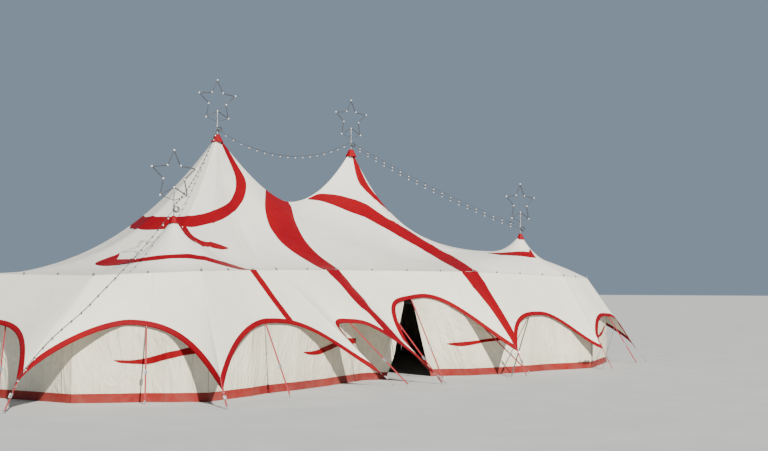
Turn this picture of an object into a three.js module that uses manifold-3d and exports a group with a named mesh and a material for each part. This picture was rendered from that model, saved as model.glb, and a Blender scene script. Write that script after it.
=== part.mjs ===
// Circus foyer tent: a stretched membrane on two tall masts and two small front
// masts, with a scalloped skirt, hanging walls, side poles and star ornaments.
// Millimetres, +Z up. X runs along the tent, -Y is the entrance side, and the
// origin is on the ground in the middle of the tent's bounding box.
import * as THREE from 'three';
import { mergeVertices } from 'three/addons/utils/BufferGeometryUtils.js';
import Module from 'manifold-3d';

const wasm = await Module();
wasm.setup();

// Driving dimensions
const MEMBRANE = 20;            // height of the membrane's solid, measured plumb
const CLEAR = 0.5;              // gap between two touching pieces
const TALL_MAST_X = 3325;       // tall masts stand at plus and minus this X, on Y 0
const TALL_PEAK_Z = 8700;
const RIDGE_SAG = 2280;         // how far the ridge dips between the tall masts
const RIDGE_BEND = { left: 1.5, right: 2.0 };    // how roundly, on each side
const SMALL_MAST = { x: 8325, y: -4733, peakZ: 5280 };
// What the small masts add to the roof, adding up to peakZ over each: a cone each,
// and on the right a round rise under the cone.
const RISES = [
  { x: -SMALL_MAST.x, lift: 1690.8, spread: 3200, round: 1, steepness: 3.0 },
  { x: SMALL_MAST.x, lift: 924, spread: 1250, round: 1, steepness: 2.34 },
  { x: SMALL_MAST.x, lift: 1029, spread: 6170, round: 2, steepness: 1.6 },
];
const STAR = { radius: 760, inner: 0.48, above: 1270, tube: 13, turn: 9 };
const COLLAR = { radius: 40, height: 60, low: 230, high: 340 };  // above each peak
const CAP_TALL = { radius: 210, height: 300 };
const CAP_SMALL = { radius: 140, height: 240 };
const MAST_RADIUS = 80;
const SMALL_MAST_RADIUS = 50;
const SIDE_POLE_RADIUS = 30;
const WALL_THICK = 20;
const CORD_RADIUS = 7;          // light strings
// How strongly the roof dishes around the tall masts, and in the ridge's middle.
const STEEPNESS = { left: 2.75, right: 4.03, back: 2.8, middle: 1.35 };
const DOOR = { base: [0.14, 0.6], top: [0.33, 0.41] };  // along the entrance bay

// The tent's supports, in order around the plan, seen from above: the head of
// each side pole (root) and the skirt tip that is strapped down outside it.
// wall is where the wall passes under the line from root to tip.
const SUPPORTS = [
  { root: [-11630, -5770, 3460], tip: [-14580, -7180, 680], wall: 0.30 },
  { root: [-9210, -7470, 3590], tip: [-10230, -9950, 440], wall: 0.38 },
  { root: [-5270, -5920, 3680], tip: [-2790, -8090, 430], wall: 0.46 },
  { root: [-1920, -4990, 3720], tip: [-930, -8650, 370], wall: 0.28 },
  { root: [3720, -6230, 3700], tip: [3410, -8590, 900], wall: 0.45 },
  { root: [8990, -6390, 3580], tip: [8840, -8340, 780], wall: 0.72 },
  { root: [11630, -5610, 3500], tip: [13020, -7010, 620], wall: 0.40 },
  { root: [12870, 0, 3550], tip: [15800, 0, 620], wall: 0.40 },
  { root: [11630, 5700, 3460], tip: [13950, 7400, 620], wall: 0.40 },
  { root: [8060, 6940, 3550], tip: [8500, 9600, 620], wall: 0.40 },
  { root: [2790, 7400, 3600], tip: [2950, 10050, 620], wall: 0.40 },
  { root: [-2790, 7400, 3600], tip: [-2950, 10050, 620], wall: 0.40 },
  { root: [-8060, 6940, 3550], tip: [-8500, 9600, 620], wall: 0.40 },
  { root: [-11630, 5700, 3460], tip: [-13950, 7400, 620], wall: 0.40 },
  { root: [-12870, 0, 3550], tip: [-15800, 0, 620], wall: 0.40 },
];
// The arch cut in the skirt between each support and the next: where along the
// bay its crown lies, how far out it lies between eaves and tips, its height, and
// on its left and right side how squarely it turns in and how slowly it rises.
const REAR_ARCH = { at: 0.5, reach: 0.42, z: 2100, turn: [2.2, 2.2], rise: [0.8, 0.8] };
const ARCHES = [
  { at: 0.44, reach: 0.33, z: 2108, turn: [1.64, 2.3], rise: [0.77, 1.2] },
  { at: 0.50, reach: 0.41, z: 2072, turn: [1.53, 2.78], rise: [0.78, 1.24] },
  { at: 0.42, reach: 0.45, z: 1975, turn: [4.1, 5.1], rise: [0.99, 0.86] },
  { at: 0.405, reach: 0.263, z: 2728, turn: [5.2, 2.95], rise: [1.42, 1.14] },
  { at: 0.485, reach: 0.556, z: 2098, turn: [2.9, 1.9], rise: [0.93, 1.42] },
  { at: 0.59, reach: 0.65, z: 1952, turn: [3.2, 5.4], rise: [1.97, 1.12] },
  ...Array(9).fill(REAR_ARCH),
];

const COUNT = SUPPORTS.length;
const lerp = (a, b, f) => a.map((v, i) => v + (b[i] - v) * f);
const wrap = (i) => (i + COUNT) % COUNT;
const root = (i) => SUPPORTS[wrap(i)].root;
const tip = (i) => SUPPORTS[wrap(i)].tip;

// A place on the eaves, at bay i and s from 0 to 1 along it.
const eaves = (i, s) => lerp(root(i), root(i + 1), s);

// The skirt's scalloped lower edge.
function hem(i, s) {
  const arch = ARCHES[wrap(i)];
  const chord = (f) => lerp(tip(i), tip(i + 1), f);
  const crown = lerp(eaves(i, arch.at), chord(arch.at), arch.reach);
  crown[2] = arch.z;
  const right = s < arch.at ? 0 : 1;
  const off = Math.min(1, Math.abs(s - arch.at) / (right ? 1 - arch.at : arch.at));
  const drawn = 1 - Math.pow(off, arch.turn[right]);
  const rise = Math.pow(drawn, arch.rise[right]);
  const base = chord(arch.at);
  return chord(s).map((v, k) => v + (k < 2 ? drawn : rise) * (crown[k] - base[k]));
}
// Steps along a bay, with one on the arch's crown.
const HALF_STEPS = [0, 0.1, 0.3, 0.62];
function hemSteps(i) {
  const { at } = ARCHES[wrap(i)];
  return [...HALF_STEPS.map((u) => u * at), at,
    ...HALF_STEPS.map((u) => 1 - u * (1 - at)).reverse()];
}

// A place on the skirt, t from 0 at the eaves to 1 at the lower edge.
const skirt = (i, s, t) => lerp(eaves(i, s), hem(i, s), t);

// Roof height
const riseAt = (x, y) => RISES.reduce((sum, rise) => {
  const far = Math.hypot(x - rise.x, y - SMALL_MAST.y) / rise.spread;
  return far < 1 ? sum + rise.lift * Math.pow(1 - Math.pow(far, rise.round), rise.steepness) : sum;
}, 0);
// The point of the ridge that an eaves place hangs from.
const RIDGE_SHARE = 0.75;
const ridgeX = (x) => THREE.MathUtils.clamp(x * RIDGE_SHARE, -TALL_MAST_X, TALL_MAST_X);

// Rays start on the ridge line, or on a small ring around a tall mast.
const RING = 1.5;
const RIDGE_SLIT = 0.3;
function rayStart(edge) {
  const rx = ridgeX(edge[0]);
  if (Math.abs(rx) < TALL_MAST_X) return [rx, Math.sign(edge[1]) * RIDGE_SLIT];
  const out = new THREE.Vector2(edge[0] - rx, edge[1]).setLength(RING);
  return [rx + out.x, out.y];
}

function ridgeHeight(x) {
  const bend = x < 0 ? RIDGE_BEND.left : RIDGE_BEND.right;
  return TALL_PEAK_Z - RIDGE_SAG * (1 - Math.pow(Math.abs(x) / TALL_MAST_X, bend));
}
// The front's steepness runs over into the back's around each end.
function endSteepness(edge) {
  const front = edge[0] < 0 ? STEEPNESS.left : STEEPNESS.right;
  const back = THREE.MathUtils.clamp(edge[1] / root(8)[1], 0, 1);
  return front + (STEEPNESS.back - front) * back;
}

function roofPoint(edge, t) {
  const rx = ridgeX(edge[0]);
  const side = Math.abs(rx) / TALL_MAST_X;
  const ridgeZ = ridgeHeight(rx);
  const steep = STEEPNESS.middle + (endSteepness(edge) - STEEPNESS.middle) * side * side;
  const start = rayStart(edge);
  const x = start[0] + (edge[0] - start[0]) * t;
  const y = start[1] + (edge[1] - start[1]) * t;
  const z = edge[2] + (ridgeZ - edge[2]) * Math.pow(1 - t, steep);
  const fade = 1 - Math.pow(t, 8);
  return [x, y, z + fade * riseAt(x, y)];
}

// Solids
const clean = (geometry) => {
  const g = geometry.clone();
  for (const name of Object.keys(g.attributes)) if (name !== 'position') g.deleteAttribute(name);
  return mergeVertices(g, 1e-3);
};
function solid(geometry) {
  const g = clean(geometry);
  return new wasm.Manifold(new wasm.Mesh({
    numProp: 3,
    vertProperties: new Float32Array(g.attributes.position.array),
    triVerts: new Uint32Array(g.index.array),
  }));
}
function geometryOf(body) {
  const mesh = body.getMesh();
  const g = new THREE.BufferGeometry();
  g.setAttribute('position', new THREE.BufferAttribute(new Float32Array(mesh.vertProperties), 3));
  g.setIndex(new THREE.BufferAttribute(new Uint32Array(mesh.triVerts), 1));
  return g;
}

// Turns the triangles over if they enclose a negative volume.
function outwards(points, index) {
  let volume = 0;
  for (let k = 0; k < index.length; k += 3) {
    const [a, b, c] = [0, 1, 2].map((j) => new THREE.Vector3(...points[index[k + j]]));
    volume += a.dot(b.cross(c));
  }
  return volume < 0 ? index.reverse() : index;
}

// A closed slab between two matching grids of points, over and under. Where it
// runs all the way round, its last column is its first one again.
function slab(over, under, closed = false) {
  const rows = over.length;
  const cols = over[0].length;
  const points = [...over.flat(), ...under.flat()];
  const at = (side, r, c) => side * rows * cols + r * cols + c;
  const index = [];
  const quad = (a, b, c, d) => index.push(a, b, c, a, c, d);
  for (let r = 0; r < rows - 1; r += 1) {
    for (let c = 0; c < cols - 1; c += 1) {
      quad(at(0, r, c), at(0, r, c + 1), at(0, r + 1, c + 1), at(0, r + 1, c));
      quad(at(1, r, c), at(1, r + 1, c), at(1, r + 1, c + 1), at(1, r, c + 1));
    }
  }
  for (let c = 0; c < cols - 1; c += 1) {
    quad(at(0, 0, c), at(1, 0, c), at(1, 0, c + 1), at(0, 0, c + 1));
    quad(at(0, rows - 1, c), at(0, rows - 1, c + 1), at(1, rows - 1, c + 1), at(1, rows - 1, c));
  }
  for (let r = 0; r < rows - 1 && !closed; r += 1) {
    quad(at(0, r, 0), at(0, r + 1, 0), at(1, r + 1, 0), at(1, r, 0));
    quad(at(0, r, cols - 1), at(1, r, cols - 1), at(1, r + 1, cols - 1), at(0, r + 1, cols - 1));
  }
  const g = new THREE.BufferGeometry();
  g.setAttribute('position', new THREE.BufferAttribute(new Float32Array(points.flat()), 3));
  g.setIndex(outwards(points, index));
  return solid(g);
}
const lowered = (grid, by) => grid.map((row) => row.map(([x, y, z]) => [x, y, z - by]));

function prism(outline, low, high) {
  const shape = new THREE.Shape(outline.map(([x, y]) => new THREE.Vector2(x, y)));
  const g = new THREE.ExtrudeGeometry(shape, { depth: high - low, bevelEnabled: false });
  return solid(g.translate(0, 0, low));
}
function lathe(profile, x, y, sides = 24) {
  const g = new THREE.LatheGeometry(profile.map(([r, z]) => new THREE.Vector2(r, z)), sides);
  return solid(g.rotateX(Math.PI / 2).translate(x, y, 0));
}
function rod(from, to, radius, sides = 8) {
  const a = new THREE.Vector3(...from);
  const b = new THREE.Vector3(...to);
  const g = new THREE.CylinderGeometry(radius, radius, a.distanceTo(b), sides);
  const turn = new THREE.Quaternion().setFromUnitVectors(
    new THREE.Vector3(0, 1, 0), b.clone().sub(a).normalize());
  g.applyQuaternion(turn);
  const mid = a.clone().add(b).multiplyScalar(0.5);
  return solid(g.translate(mid.x, mid.y, mid.z));
}
const joined = (bodies) => bodies.reduce((all, body) => all.add(body));

// Materials
const paint = (color, roughness, metalness = 0) =>
  new THREE.MeshStandardMaterial({ color, roughness, metalness });
const CREAM = paint(0xe9e2d0, 0.62);
const RED = paint(0xc01226, 0.5);
const STEEL = paint(0xb9bcbe, 0.38, 0.9);
const DARK = paint(0x2a2a2c, 0.6);

const tent = new THREE.Group();
function piece(name, body, material) {
  const mesh = new THREE.Mesh(geometryOf(body), material);
  mesh.name = name;
  tent.add(mesh);
}

// Roof: one membrane over the whole plan, cut into laced panels.
const COARSE_STEPS = [0, 0.5];
// Bays near a small peak have more rays, and one of them runs over the peak itself.
const FINE_STEPS = {
  0: [0, 0.18, 0.36, 0.5241, 0.68, 0.84],
  1: [0, 0.16, 0.33, 0.5, 0.66, 0.83],
  4: [0, 0.16, 0.33, 0.5, 0.66, 0.83],
  5: [0, 0.1, 0.21, 0.3134, 0.42, 0.54, 0.74],
};
const ROOF_STEPS = [
  0, 0.04, 0.12, 0.23, 0.36, 0.48, 0.57, 0.64, 0.68, 0.7106, 0.74, 0.7701, 0.8, 0.86, 0.93, 1,
];
const rays = [];
for (let i = 0; i < COUNT; i += 1) {
  for (const s of FINE_STEPS[i] ?? COARSE_STEPS) rays.push(eaves(i, s));
}

function roofBody(raise, depth) {
  // Rings of points from the ridge outwards, closed around the tent.
  const ring = ROOF_STEPS.map((t) => rays.map((edge) => {
    const [x, y, z] = roofPoint(edge, t);
    return [x, y, z + raise];
  }));
  const over = ring.map((row) => [...row, row[0]]);
  const under = over.map((row) => row.map(([x, y, z]) => [x, y, depth(z)]));
  return slab(over, under, true);
}

const MASTS = [
  { name: 'tall_left', x: -TALL_MAST_X, y: 0, peakZ: TALL_PEAK_Z, r: MAST_RADIUS, cap: CAP_TALL },
  { name: 'tall_right', x: TALL_MAST_X, y: 0, peakZ: TALL_PEAK_Z, r: MAST_RADIUS, cap: CAP_TALL },
  { name: 'front_left', x: -SMALL_MAST.x, y: SMALL_MAST.y, peakZ: SMALL_MAST.peakZ,
    r: SMALL_MAST_RADIUS, cap: CAP_SMALL },
  { name: 'front_right', x: SMALL_MAST.x, y: SMALL_MAST.y, peakZ: SMALL_MAST.peakZ,
    r: SMALL_MAST_RADIUS, cap: CAP_SMALL },
];

let roof = roofBody(0, (z) => z - MEMBRANE);
for (const mast of MASTS) {
  const hole = [[0, 0], [mast.r + 20, 0], [mast.r + 20, 9000], [0, 9000]];
  roof = roof.subtract(lathe(hole, mast.x, mast.y));
}
const LEFT = [-TALL_MAST_X, 0];
const RIGHT = [TALL_MAST_X, 0];
const PANELS = {
  roof_front: [LEFT, root(2), root(3), root(4), RIGHT],
  roof_front_left: [LEFT, root(0), root(1), root(2)],
  roof_front_right: [RIGHT, root(4), root(5), root(6)],
  roof_right_end: [RIGHT, root(6), root(7), root(8)],
  roof_back_right: [RIGHT, root(8), root(9), root(10)],
  roof_back: [RIGHT, root(10), root(11), LEFT],
  roof_back_left: [LEFT, root(11), root(12), root(13)],
  roof_left_end: [LEFT, root(13), root(14), root(0)],
};
// Each panel is the roof inside its own outline, drawn in by half a gap at the
// lacing and carried past the eaves on the outside.
function inset(outline, by) {
  const n = outline.length;
  const line = (a, b) => {
    const d = [b[0] - a[0], b[1] - a[1]];
    const len = Math.hypot(...d);
    return { p: a, d, n: [-d[1] / len, d[0] / len] };
  };
  const edges = outline.map((a, i) => {
    const b = outline[(i + 1) % n];
    const e = line(a, b);
    const inner = Math.abs(a[1]) < 1 || Math.abs(b[1]) < 1;
    const onMast = (q) => Math.abs(q[1]) < 1 && Math.abs(Math.abs(q[0]) - TALL_MAST_X) < 1;
    const move = inner && (onMast(a) || onMast(b)) ? by : -300;
    return { p: [a[0] + e.n[0] * move, a[1] + e.n[1] * move], d: e.d };
  });
  return outline.map((_, i) => {
    const e = edges[(i + n - 1) % n];
    const f = edges[i];
    const det = e.d[0] * f.d[1] - e.d[1] * f.d[0];
    const s = ((f.p[0] - e.p[0]) * f.d[1] - (f.p[1] - e.p[1]) * f.d[0]) / det;
    return [e.p[0] + e.d[0] * s, e.p[1] + e.d[1] * s];
  });
}
for (const [name, outline] of Object.entries(PANELS)) {
  const flat = outline.map(([x, y]) => [x, y]);
  piece(name, roof.intersect(prism(inset(flat, CLEAR), 2000, 9500)), CREAM);
}

// Skirt: ruled from the eaves to the scalloped edge, with the webbing strap that
// holds each tip down to its ground stake.
const SKIRT_STEPS = [0, 0.5, 1];
const STRAP = { radius: 13, run: 420, hold: 0.2 };
const STAKE = { radius: 16, above: 90 };

function outward(i) {
  const dx = tip(i)[0] - root(i)[0];
  const dy = tip(i)[1] - root(i)[1];
  const len = Math.hypot(dx, dy);
  return [dx / len, dy / len];
}
function tipStrap(i, clear = 0) {
  const [ox, oy] = outward(i);
  const [x, y] = tip(i);
  // It is sewn in a little way up from the tip, between the corner's two edges.
  const up = lerp(skirt(wrap(i), 0, 0.5), hem(wrap(i), hemSteps(i)[1]), 0.5);
  const start = lerp(tip(i), up, STRAP.hold);
  start[2] -= MEMBRANE / 2;
  const foot = [x + ox * STRAP.run, y + oy * STRAP.run, STAKE.above - 30];
  const radius = STAKE.radius + clear;
  const stake = lathe([[0, 0], [radius, 0], [radius, STAKE.above], [0, STAKE.above]],
    foot[0], foot[1], 10);
  return rod(start, foot, STRAP.radius + clear, 6).add(stake);
}
// Its rows of points, standing clear of the roof's edge and of the neighbours.
function skirtRows(first, bays, clear) {
  const rows = [];
  for (let b = 0; b < bays; b += 1) {
    for (const s of hemSteps(first + b)) {
      if (b === 0 || s > 0) rows.push(SKIRT_STEPS.map((t) => skirt(first + b, s, t)));
    }
  }
  const last = rows.length - 1;
  const side = (row, by, i) => {
    const [ox, oy] = outward(i);
    return row.map(([x, y, z]) => [x - oy * by, y + ox * by, z]);
  };
  rows[0] = side(rows[0], clear, first);
  rows[last] = side(rows[last], -clear, first + bays);
  for (const row of rows) {
    const [x, y, z] = row[0];
    const away = 1 + 2 * clear / Math.hypot(x, y);
    row[0] = [x * away, y * away, z];
  }
  return rows;
}
function skirtBody(first, bays) {
  const rows = skirtRows(first, bays, CLEAR);
  let body = slab(rows, lowered(rows, MEMBRANE));
  body = body.subtract(tipStrap(first + bays, CLEAR));
  for (let b = 0; b < bays; b += 1) body = body.add(tipStrap(first + b));
  return body;
}
// All the room from just under the skirt upwards, to cut what hangs from it.
function overSkirt(first, bays) {
  const rows = skirtRows(first, bays, -0.1);
  const roofTop = rows.map((row) => row.map(([x, y]) => [x, y, TALL_PEAK_Z]));
  return slab(roofTop, lowered(rows, MEMBRANE + 3 * CLEAR));
}
const SKIRTS = {
  skirt_front_1: [0, 1], skirt_front_2: [1, 1], skirt_front_3: [2, 1],
  skirt_entrance: [3, 1], skirt_front_5: [4, 1], skirt_front_6: [5, 1],
  skirt_right_end: [6, 2], skirt_back_right_end: [8, 1], skirt_back_right: [9, 1],
  skirt_back: [10, 1], skirt_back_left: [11, 1], skirt_back_left_end: [12, 1],
  skirt_left_end: [13, 2],
};
for (const [name, [first, bays]] of Object.entries(SKIRTS)) {
  piece(name, skirtBody(first, bays), CREAM);
}

// Walls hang from the skirt's underside and reach the ground.
function wallPlace(i, s) {
  const corner = (k) => skirt(k, 0, SUPPORTS[wrap(k)].wall);
  const a = corner(i);
  const b = corner(i + 1);
  const e = eaves(i, s);
  const h = hem(i, s);
  const d = [h[0] - e[0], h[1] - e[1]];
  const w = [b[0] - a[0], b[1] - a[1]];
  const t = ((a[0] - e[0]) * w[1] - (a[1] - e[1]) * w[0]) / (d[0] * w[1] - d[1] * w[0]);
  return skirt(i, s, THREE.MathUtils.clamp(t, 0.1, 0.93));
}
const WALL_STEPS = [0, 0.15, 0.3, 0.5, 0.7, 0.85];
const WALL_ROWS = [0, 0.5, 1];
const WALL_OVER = 60;           // built this much too tall, then cut under the skirt
function wallBody(from, to, leftDoor, rightDoor) {
  // from and to count bays along the tent; a door edge leans from base to top.
  const steps = [];
  for (let q = Math.floor(from); q < to; q += 1) {
    for (const f of WALL_STEPS) {
      if (q + f > from + 0.02 && q + f < to - 0.02) steps.push(q + f);
    }
  }
  const along = [from, ...steps, to];
  const place = (q) => {
    const i = Math.min(Math.floor(q), Math.ceil(to) - 1);
    return wallPlace(i, q - i);
  };
  // The wall's thickness lies inwards, mitred where it turns a corner.
  const inward = (q) => {
    const k = Math.round(q);
    if (Math.abs(q - k) < 0.02) {
      const [ox, oy] = outward(k);
      return [-ox * WALL_THICK, -oy * WALL_THICK];
    }
    const i = Math.floor(q);
    const a = wallPlace(i, 0.2);
    const b = wallPlace(i, 0.8);
    const len = Math.hypot(b[0] - a[0], b[1] - a[1]);
    return [-(b[1] - a[1]) / len * WALL_THICK, (b[0] - a[0]) / len * WALL_THICK];
  };
  const grid = (shift) => along.map((q) => WALL_ROWS.map((f) => {
    const lean = (door) => (door ? (door[1] - door[0]) * f : 0);
    const share = (q - from) / (to - from);
    const at = q + lean(leftDoor) * (1 - share) + lean(rightDoor) * share;
    const p = place(at);
    const [ix, iy] = inward(q);
    return [p[0] + ix * shift, p[1] + iy * shift, f * (p[2] + WALL_OVER)];
  }));
  let body = slab(grid(0), grid(1));
  for (let i = Math.floor(from); i < to; i += 1) body = body.subtract(overSkirt(i, 1));
  return body;
}
const doorBay = 3;
const WALLS = {
  wall_front_left_end: [0.003, 0.997],
  wall_front_left: [1.003, doorBay + DOOR.base[0], null, [DOOR.base[0], DOOR.top[0]]],
  wall_front_right: [doorBay + DOOR.base[1], 4.997, [DOOR.base[1], DOOR.top[1]], null],
  wall_front_right_end: [5.003, 5.997],
  wall_right_end: [6.003, 7.997],
  wall_back_right_end: [8.003, 8.997],
  wall_back_right: [9.003, 10.497],
  wall_back_left: [10.503, 11.997],
  wall_back_left_end: [12.003, 12.997],
  wall_left_end: [13.003, 14.997],
};
for (const [name, args] of Object.entries(WALLS)) piece(name, wallBody(...args), CREAM);

// Side poles, just inside the eaves at each corner of the roof, cut to its underside.
const POLE_SET = 60;
const ROOM = 500;
const overRoof = roofBody(ROOM, (z) => z - ROOM - MEMBRANE - CLEAR);
function inside(i) {
  // The inward side of the eaves before and after support i, taken together.
  const normal = (a, b) => new THREE.Vector2(a[1] - b[1], b[0] - a[0]).normalize();
  const before = normal(root(i - 1), root(i));
  const after = normal(root(i), root(i + 1));
  const both = before.clone().add(after).normalize();
  return both.divideScalar(both.dot(after));
}
SUPPORTS.forEach((support, i) => {
  const [x, y, z] = support.root;
  const move = inside(i).multiplyScalar(POLE_SET);
  const top = z + MEMBRANE;
  const body = lathe([[0, 0], [SIDE_POLE_RADIUS * 2, 0], [SIDE_POLE_RADIUS * 2, 10],
    [SIDE_POLE_RADIUS, 10], [SIDE_POLE_RADIUS, top], [0, top]], x + move.x, y + move.y, 12);
  piece(`side_pole_${i + 1}`, body.subtract(overRoof), STEEL);
});

// Masts with their star ornaments, and the red caps over the peaks.
// Each cap is cut to the roof: under is all that lies below it, with the lacing
// line along the ridge filled in.
const ridgeFill = [-2, 2].map((y) => Array.from({ length: 41 }, (_, k) => {
  const x = TALL_MAST_X * (k / 20 - 1);
  return [x, y, ridgeHeight(x) + CLEAR];
}));
const under = roofBody(CLEAR, () => 0)
  .add(slab(ridgeFill, ridgeFill.map((row) => row.map(([x, y]) => [x, y, 0]))));
function collar(mast, above, clear = 0) {
  const r = COLLAR.radius + clear;
  const low = mast.peakZ + above - COLLAR.height / 2 - clear;
  const high = mast.peakZ + above + COLLAR.height / 2 + clear;
  return lathe([[0, low], [r, low], [r, high], [0, high]], mast.x, mast.y, 16);
}
for (const mast of MASTS) {
  const { x, y, peakZ, r, cap } = mast;
  const top = peakZ - 40;
  const starZ = peakZ + STAR.above;
  const shaft = lathe([[0, 0], [r * 2, 0], [r * 2, 20], [r, 20], [r, top], [0, top]], x, y, 16);
  const turn = THREE.MathUtils.degToRad(STAR.turn);
  const corner = (k) => {
    const reach = STAR.radius * (k % 2 ? STAR.inner : 1);
    const a = Math.PI / 2 + k * Math.PI / 5;
    const side = reach * Math.cos(a);
    return [x + side * Math.cos(turn), y - side * Math.sin(turn), starZ + reach * Math.sin(a)];
  };
  const parts = [shaft, rod([x, y, top - 60], corner(5), STAR.tube * 1.4),
    collar(mast, COLLAR.low), collar(mast, COLLAR.high)];
  for (let k = 0; k < 10; k += 1) {
    parts.push(rod(corner(k), corner(k + 1), STAR.tube, 5));
    const knob = new THREE.SphereGeometry(STAR.tube * 2.4, 6, 4);
    parts.push(solid(knob.translate(...corner(k))));
  }
  piece(`mast_${mast.name}`, joined(parts), STEEL);
  const crown = peakZ + 40;
  const cover = lathe([[0, crown - cap.height - 300], [cap.radius, crown - cap.height - 300],
    [cap.radius, crown - 30], [cap.radius - 30, crown], [0, crown]], x, y, 24);
  const bore = lathe([[0, 0], [r + CLEAR, 0], [r + CLEAR, top + CLEAR],
    [STAR.tube * 1.4 + CLEAR, top + CLEAR], [STAR.tube * 1.4 + CLEAR, 12000], [0, 12000]], x, y, 16);
  const floor = prism([[x - 400, y - 400], [x + 400, y - 400], [x + 400, y + 400],
    [x - 400, y + 400]], 0, crown - cap.height);
  piece(`cap_${mast.name}`, cover.subtract(under).subtract(floor).subtract(bore), RED);
}

// Light strings, hung from collar to collar, and one down to the left front tip.
const [TALL_LEFT, TALL_RIGHT, FRONT_LEFT, FRONT_RIGHT] = MASTS;
const at = (mast, above) => [mast.x, mast.y, mast.peakZ + above];
function hung(from, to, sag) {
  return Array.from({ length: 9 }, (_, k) => {
    const f = k / 8;
    const p = lerp(from, to, f);
    return [p[0], p[1], p[2] - 4 * sag * f * (1 - f)];
  });
}
function cord(path, steps) {
  const ring = new THREE.Shape(Array.from({ length: 8 }, (_, k) => {
    const a = (k + 0.5) * Math.PI / 4;
    return new THREE.Vector2(CORD_RADIUS * Math.cos(a), CORD_RADIUS * Math.sin(a));
  }));
  const curve = new THREE.CatmullRomCurve3(path.map((p) => new THREE.Vector3(...p)));
  return solid(new THREE.ExtrudeGeometry(ring, { steps, bevelEnabled: false, extrudePath: curve }));
}
const STRINGS = [
  { from: [TALL_LEFT, COLLAR.low], to: [TALL_RIGHT, COLLAR.high], sag: 780 },
  { from: [TALL_RIGHT, COLLAR.high], to: [FRONT_RIGHT, COLLAR.high], sag: 200 },
  { from: [TALL_RIGHT, COLLAR.low], to: [FRONT_RIGHT, COLLAR.low], sag: 220 },
  { from: [FRONT_LEFT, COLLAR.high], to: [TALL_LEFT, COLLAR.low], sag: 300 },
];
STRINGS.forEach(({ from, to, sag }, k) => {
  const body = cord(hung(at(...from), at(...to), sag), 20);
  const ends = collar(...from, 0.3).add(collar(...to, 0.3));
  piece(`string_${k + 1}`, body.subtract(ends), DARK);
});
// The last one runs over the eaves and lies along the skirt down to its strap.
const LAID = [[0.26, 0], [0.193, 0.298], [0.148, 0.532], [0.091, 0.669], [0.056, 0.75],
  [0.02, 0.88]];
const laid = LAID.map(([s, t]) => skirt(0, s, t)).map(([x, y, z]) => [x, y, z + 80]);
laid.push([tip(0)[0], tip(0)[1], tip(0)[2] + 70]);
const held = lerp(tip(0), [...outward(0).map((v, k) => tip(0)[k] + v * STRAP.run), 60], 0.35);
const start = at(FRONT_LEFT, COLLAR.low);
const free = hung(start, laid[0], 60).slice(0, 8);
const lastCord = cord([...free, ...laid, held], 26)
  .subtract(collar(FRONT_LEFT, COLLAR.low, 0.3)).subtract(tipStrap(0, 0.3));
piece(`string_${STRINGS.length + 1}`, lastCord, DARK);

// The origin is under the middle of everything that was placed.
const middle = new THREE.Box3().setFromObject(tent).getCenter(new THREE.Vector3());
tent.position.set(-middle.x, -middle.y, 0);

export default tent;
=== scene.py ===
import math
from collections import namedtuple

import bmesh
import bpy
import numpy as np
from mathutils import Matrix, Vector
from mathutils.bvhtree import BVHTree


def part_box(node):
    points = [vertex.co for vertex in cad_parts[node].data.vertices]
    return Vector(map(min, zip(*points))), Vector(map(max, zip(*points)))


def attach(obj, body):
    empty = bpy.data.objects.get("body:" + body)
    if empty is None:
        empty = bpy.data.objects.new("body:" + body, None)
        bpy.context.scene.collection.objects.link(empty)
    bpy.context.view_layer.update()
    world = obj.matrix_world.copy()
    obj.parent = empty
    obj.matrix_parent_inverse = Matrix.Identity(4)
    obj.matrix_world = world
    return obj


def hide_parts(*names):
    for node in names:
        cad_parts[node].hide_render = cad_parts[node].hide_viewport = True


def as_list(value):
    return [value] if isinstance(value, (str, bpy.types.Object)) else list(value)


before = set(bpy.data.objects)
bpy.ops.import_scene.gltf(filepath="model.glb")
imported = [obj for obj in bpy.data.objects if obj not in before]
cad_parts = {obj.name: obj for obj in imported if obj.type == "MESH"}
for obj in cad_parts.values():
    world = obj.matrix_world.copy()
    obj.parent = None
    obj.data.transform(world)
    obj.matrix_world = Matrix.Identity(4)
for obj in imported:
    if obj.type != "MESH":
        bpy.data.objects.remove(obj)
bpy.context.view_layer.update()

# Dresses the circus foyer tent: fabric, stripes, walls, masts, strings and straps.
# Everything is in metres. Places are measured from the point halfway between the
# tall masts, and MIDDLE moves them into the part's own frame.
mast_low, mast_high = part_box("mast_tall_left")
MIDDLE = np.array([0.0, (mast_low[1] + mast_high[1]) / 2, 0.0])

# Supports in order around the plan: pole head, strapped tip, and where the wall
# passes under the line between them. The rear is the same on both sides.
FRONT_SUPPORTS = [
    ((-11.63, -5.77, 3.46), (-14.58, -7.18, 0.68), 0.30),
    ((-9.21, -7.47, 3.59), (-10.23, -9.95, 0.44), 0.38),
    ((-5.27, -5.92, 3.68), (-2.79, -8.09, 0.43), 0.46),
    ((-1.92, -4.99, 3.72), (-0.93, -8.65, 0.37), 0.28),
    ((3.72, -6.23, 3.70), (3.41, -8.59, 0.90), 0.45),
    ((8.99, -6.39, 3.58), (8.84, -8.34, 0.78), 0.72),
    ((11.63, -5.61, 3.50), (13.02, -7.01, 0.62), 0.40),
]
REAR_SUPPORTS = [
    ((12.87, 0.0, 3.55), (15.80, 0.0, 0.62), 0.40),
    ((11.63, 5.70, 3.46), (13.95, 7.40, 0.62), 0.40),
    ((8.06, 6.94, 3.55), (8.50, 9.60, 0.62), 0.40),
    ((2.79, 7.40, 3.60), (2.95, 10.05, 0.62), 0.40),
]
SUPPORTS = FRONT_SUPPORTS + REAR_SUPPORTS + [
    ((-root[0], *root[1:]), (-tip[0], *tip[1:]), share)
    for root, tip, share in reversed(REAR_SUPPORTS)
]
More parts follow.
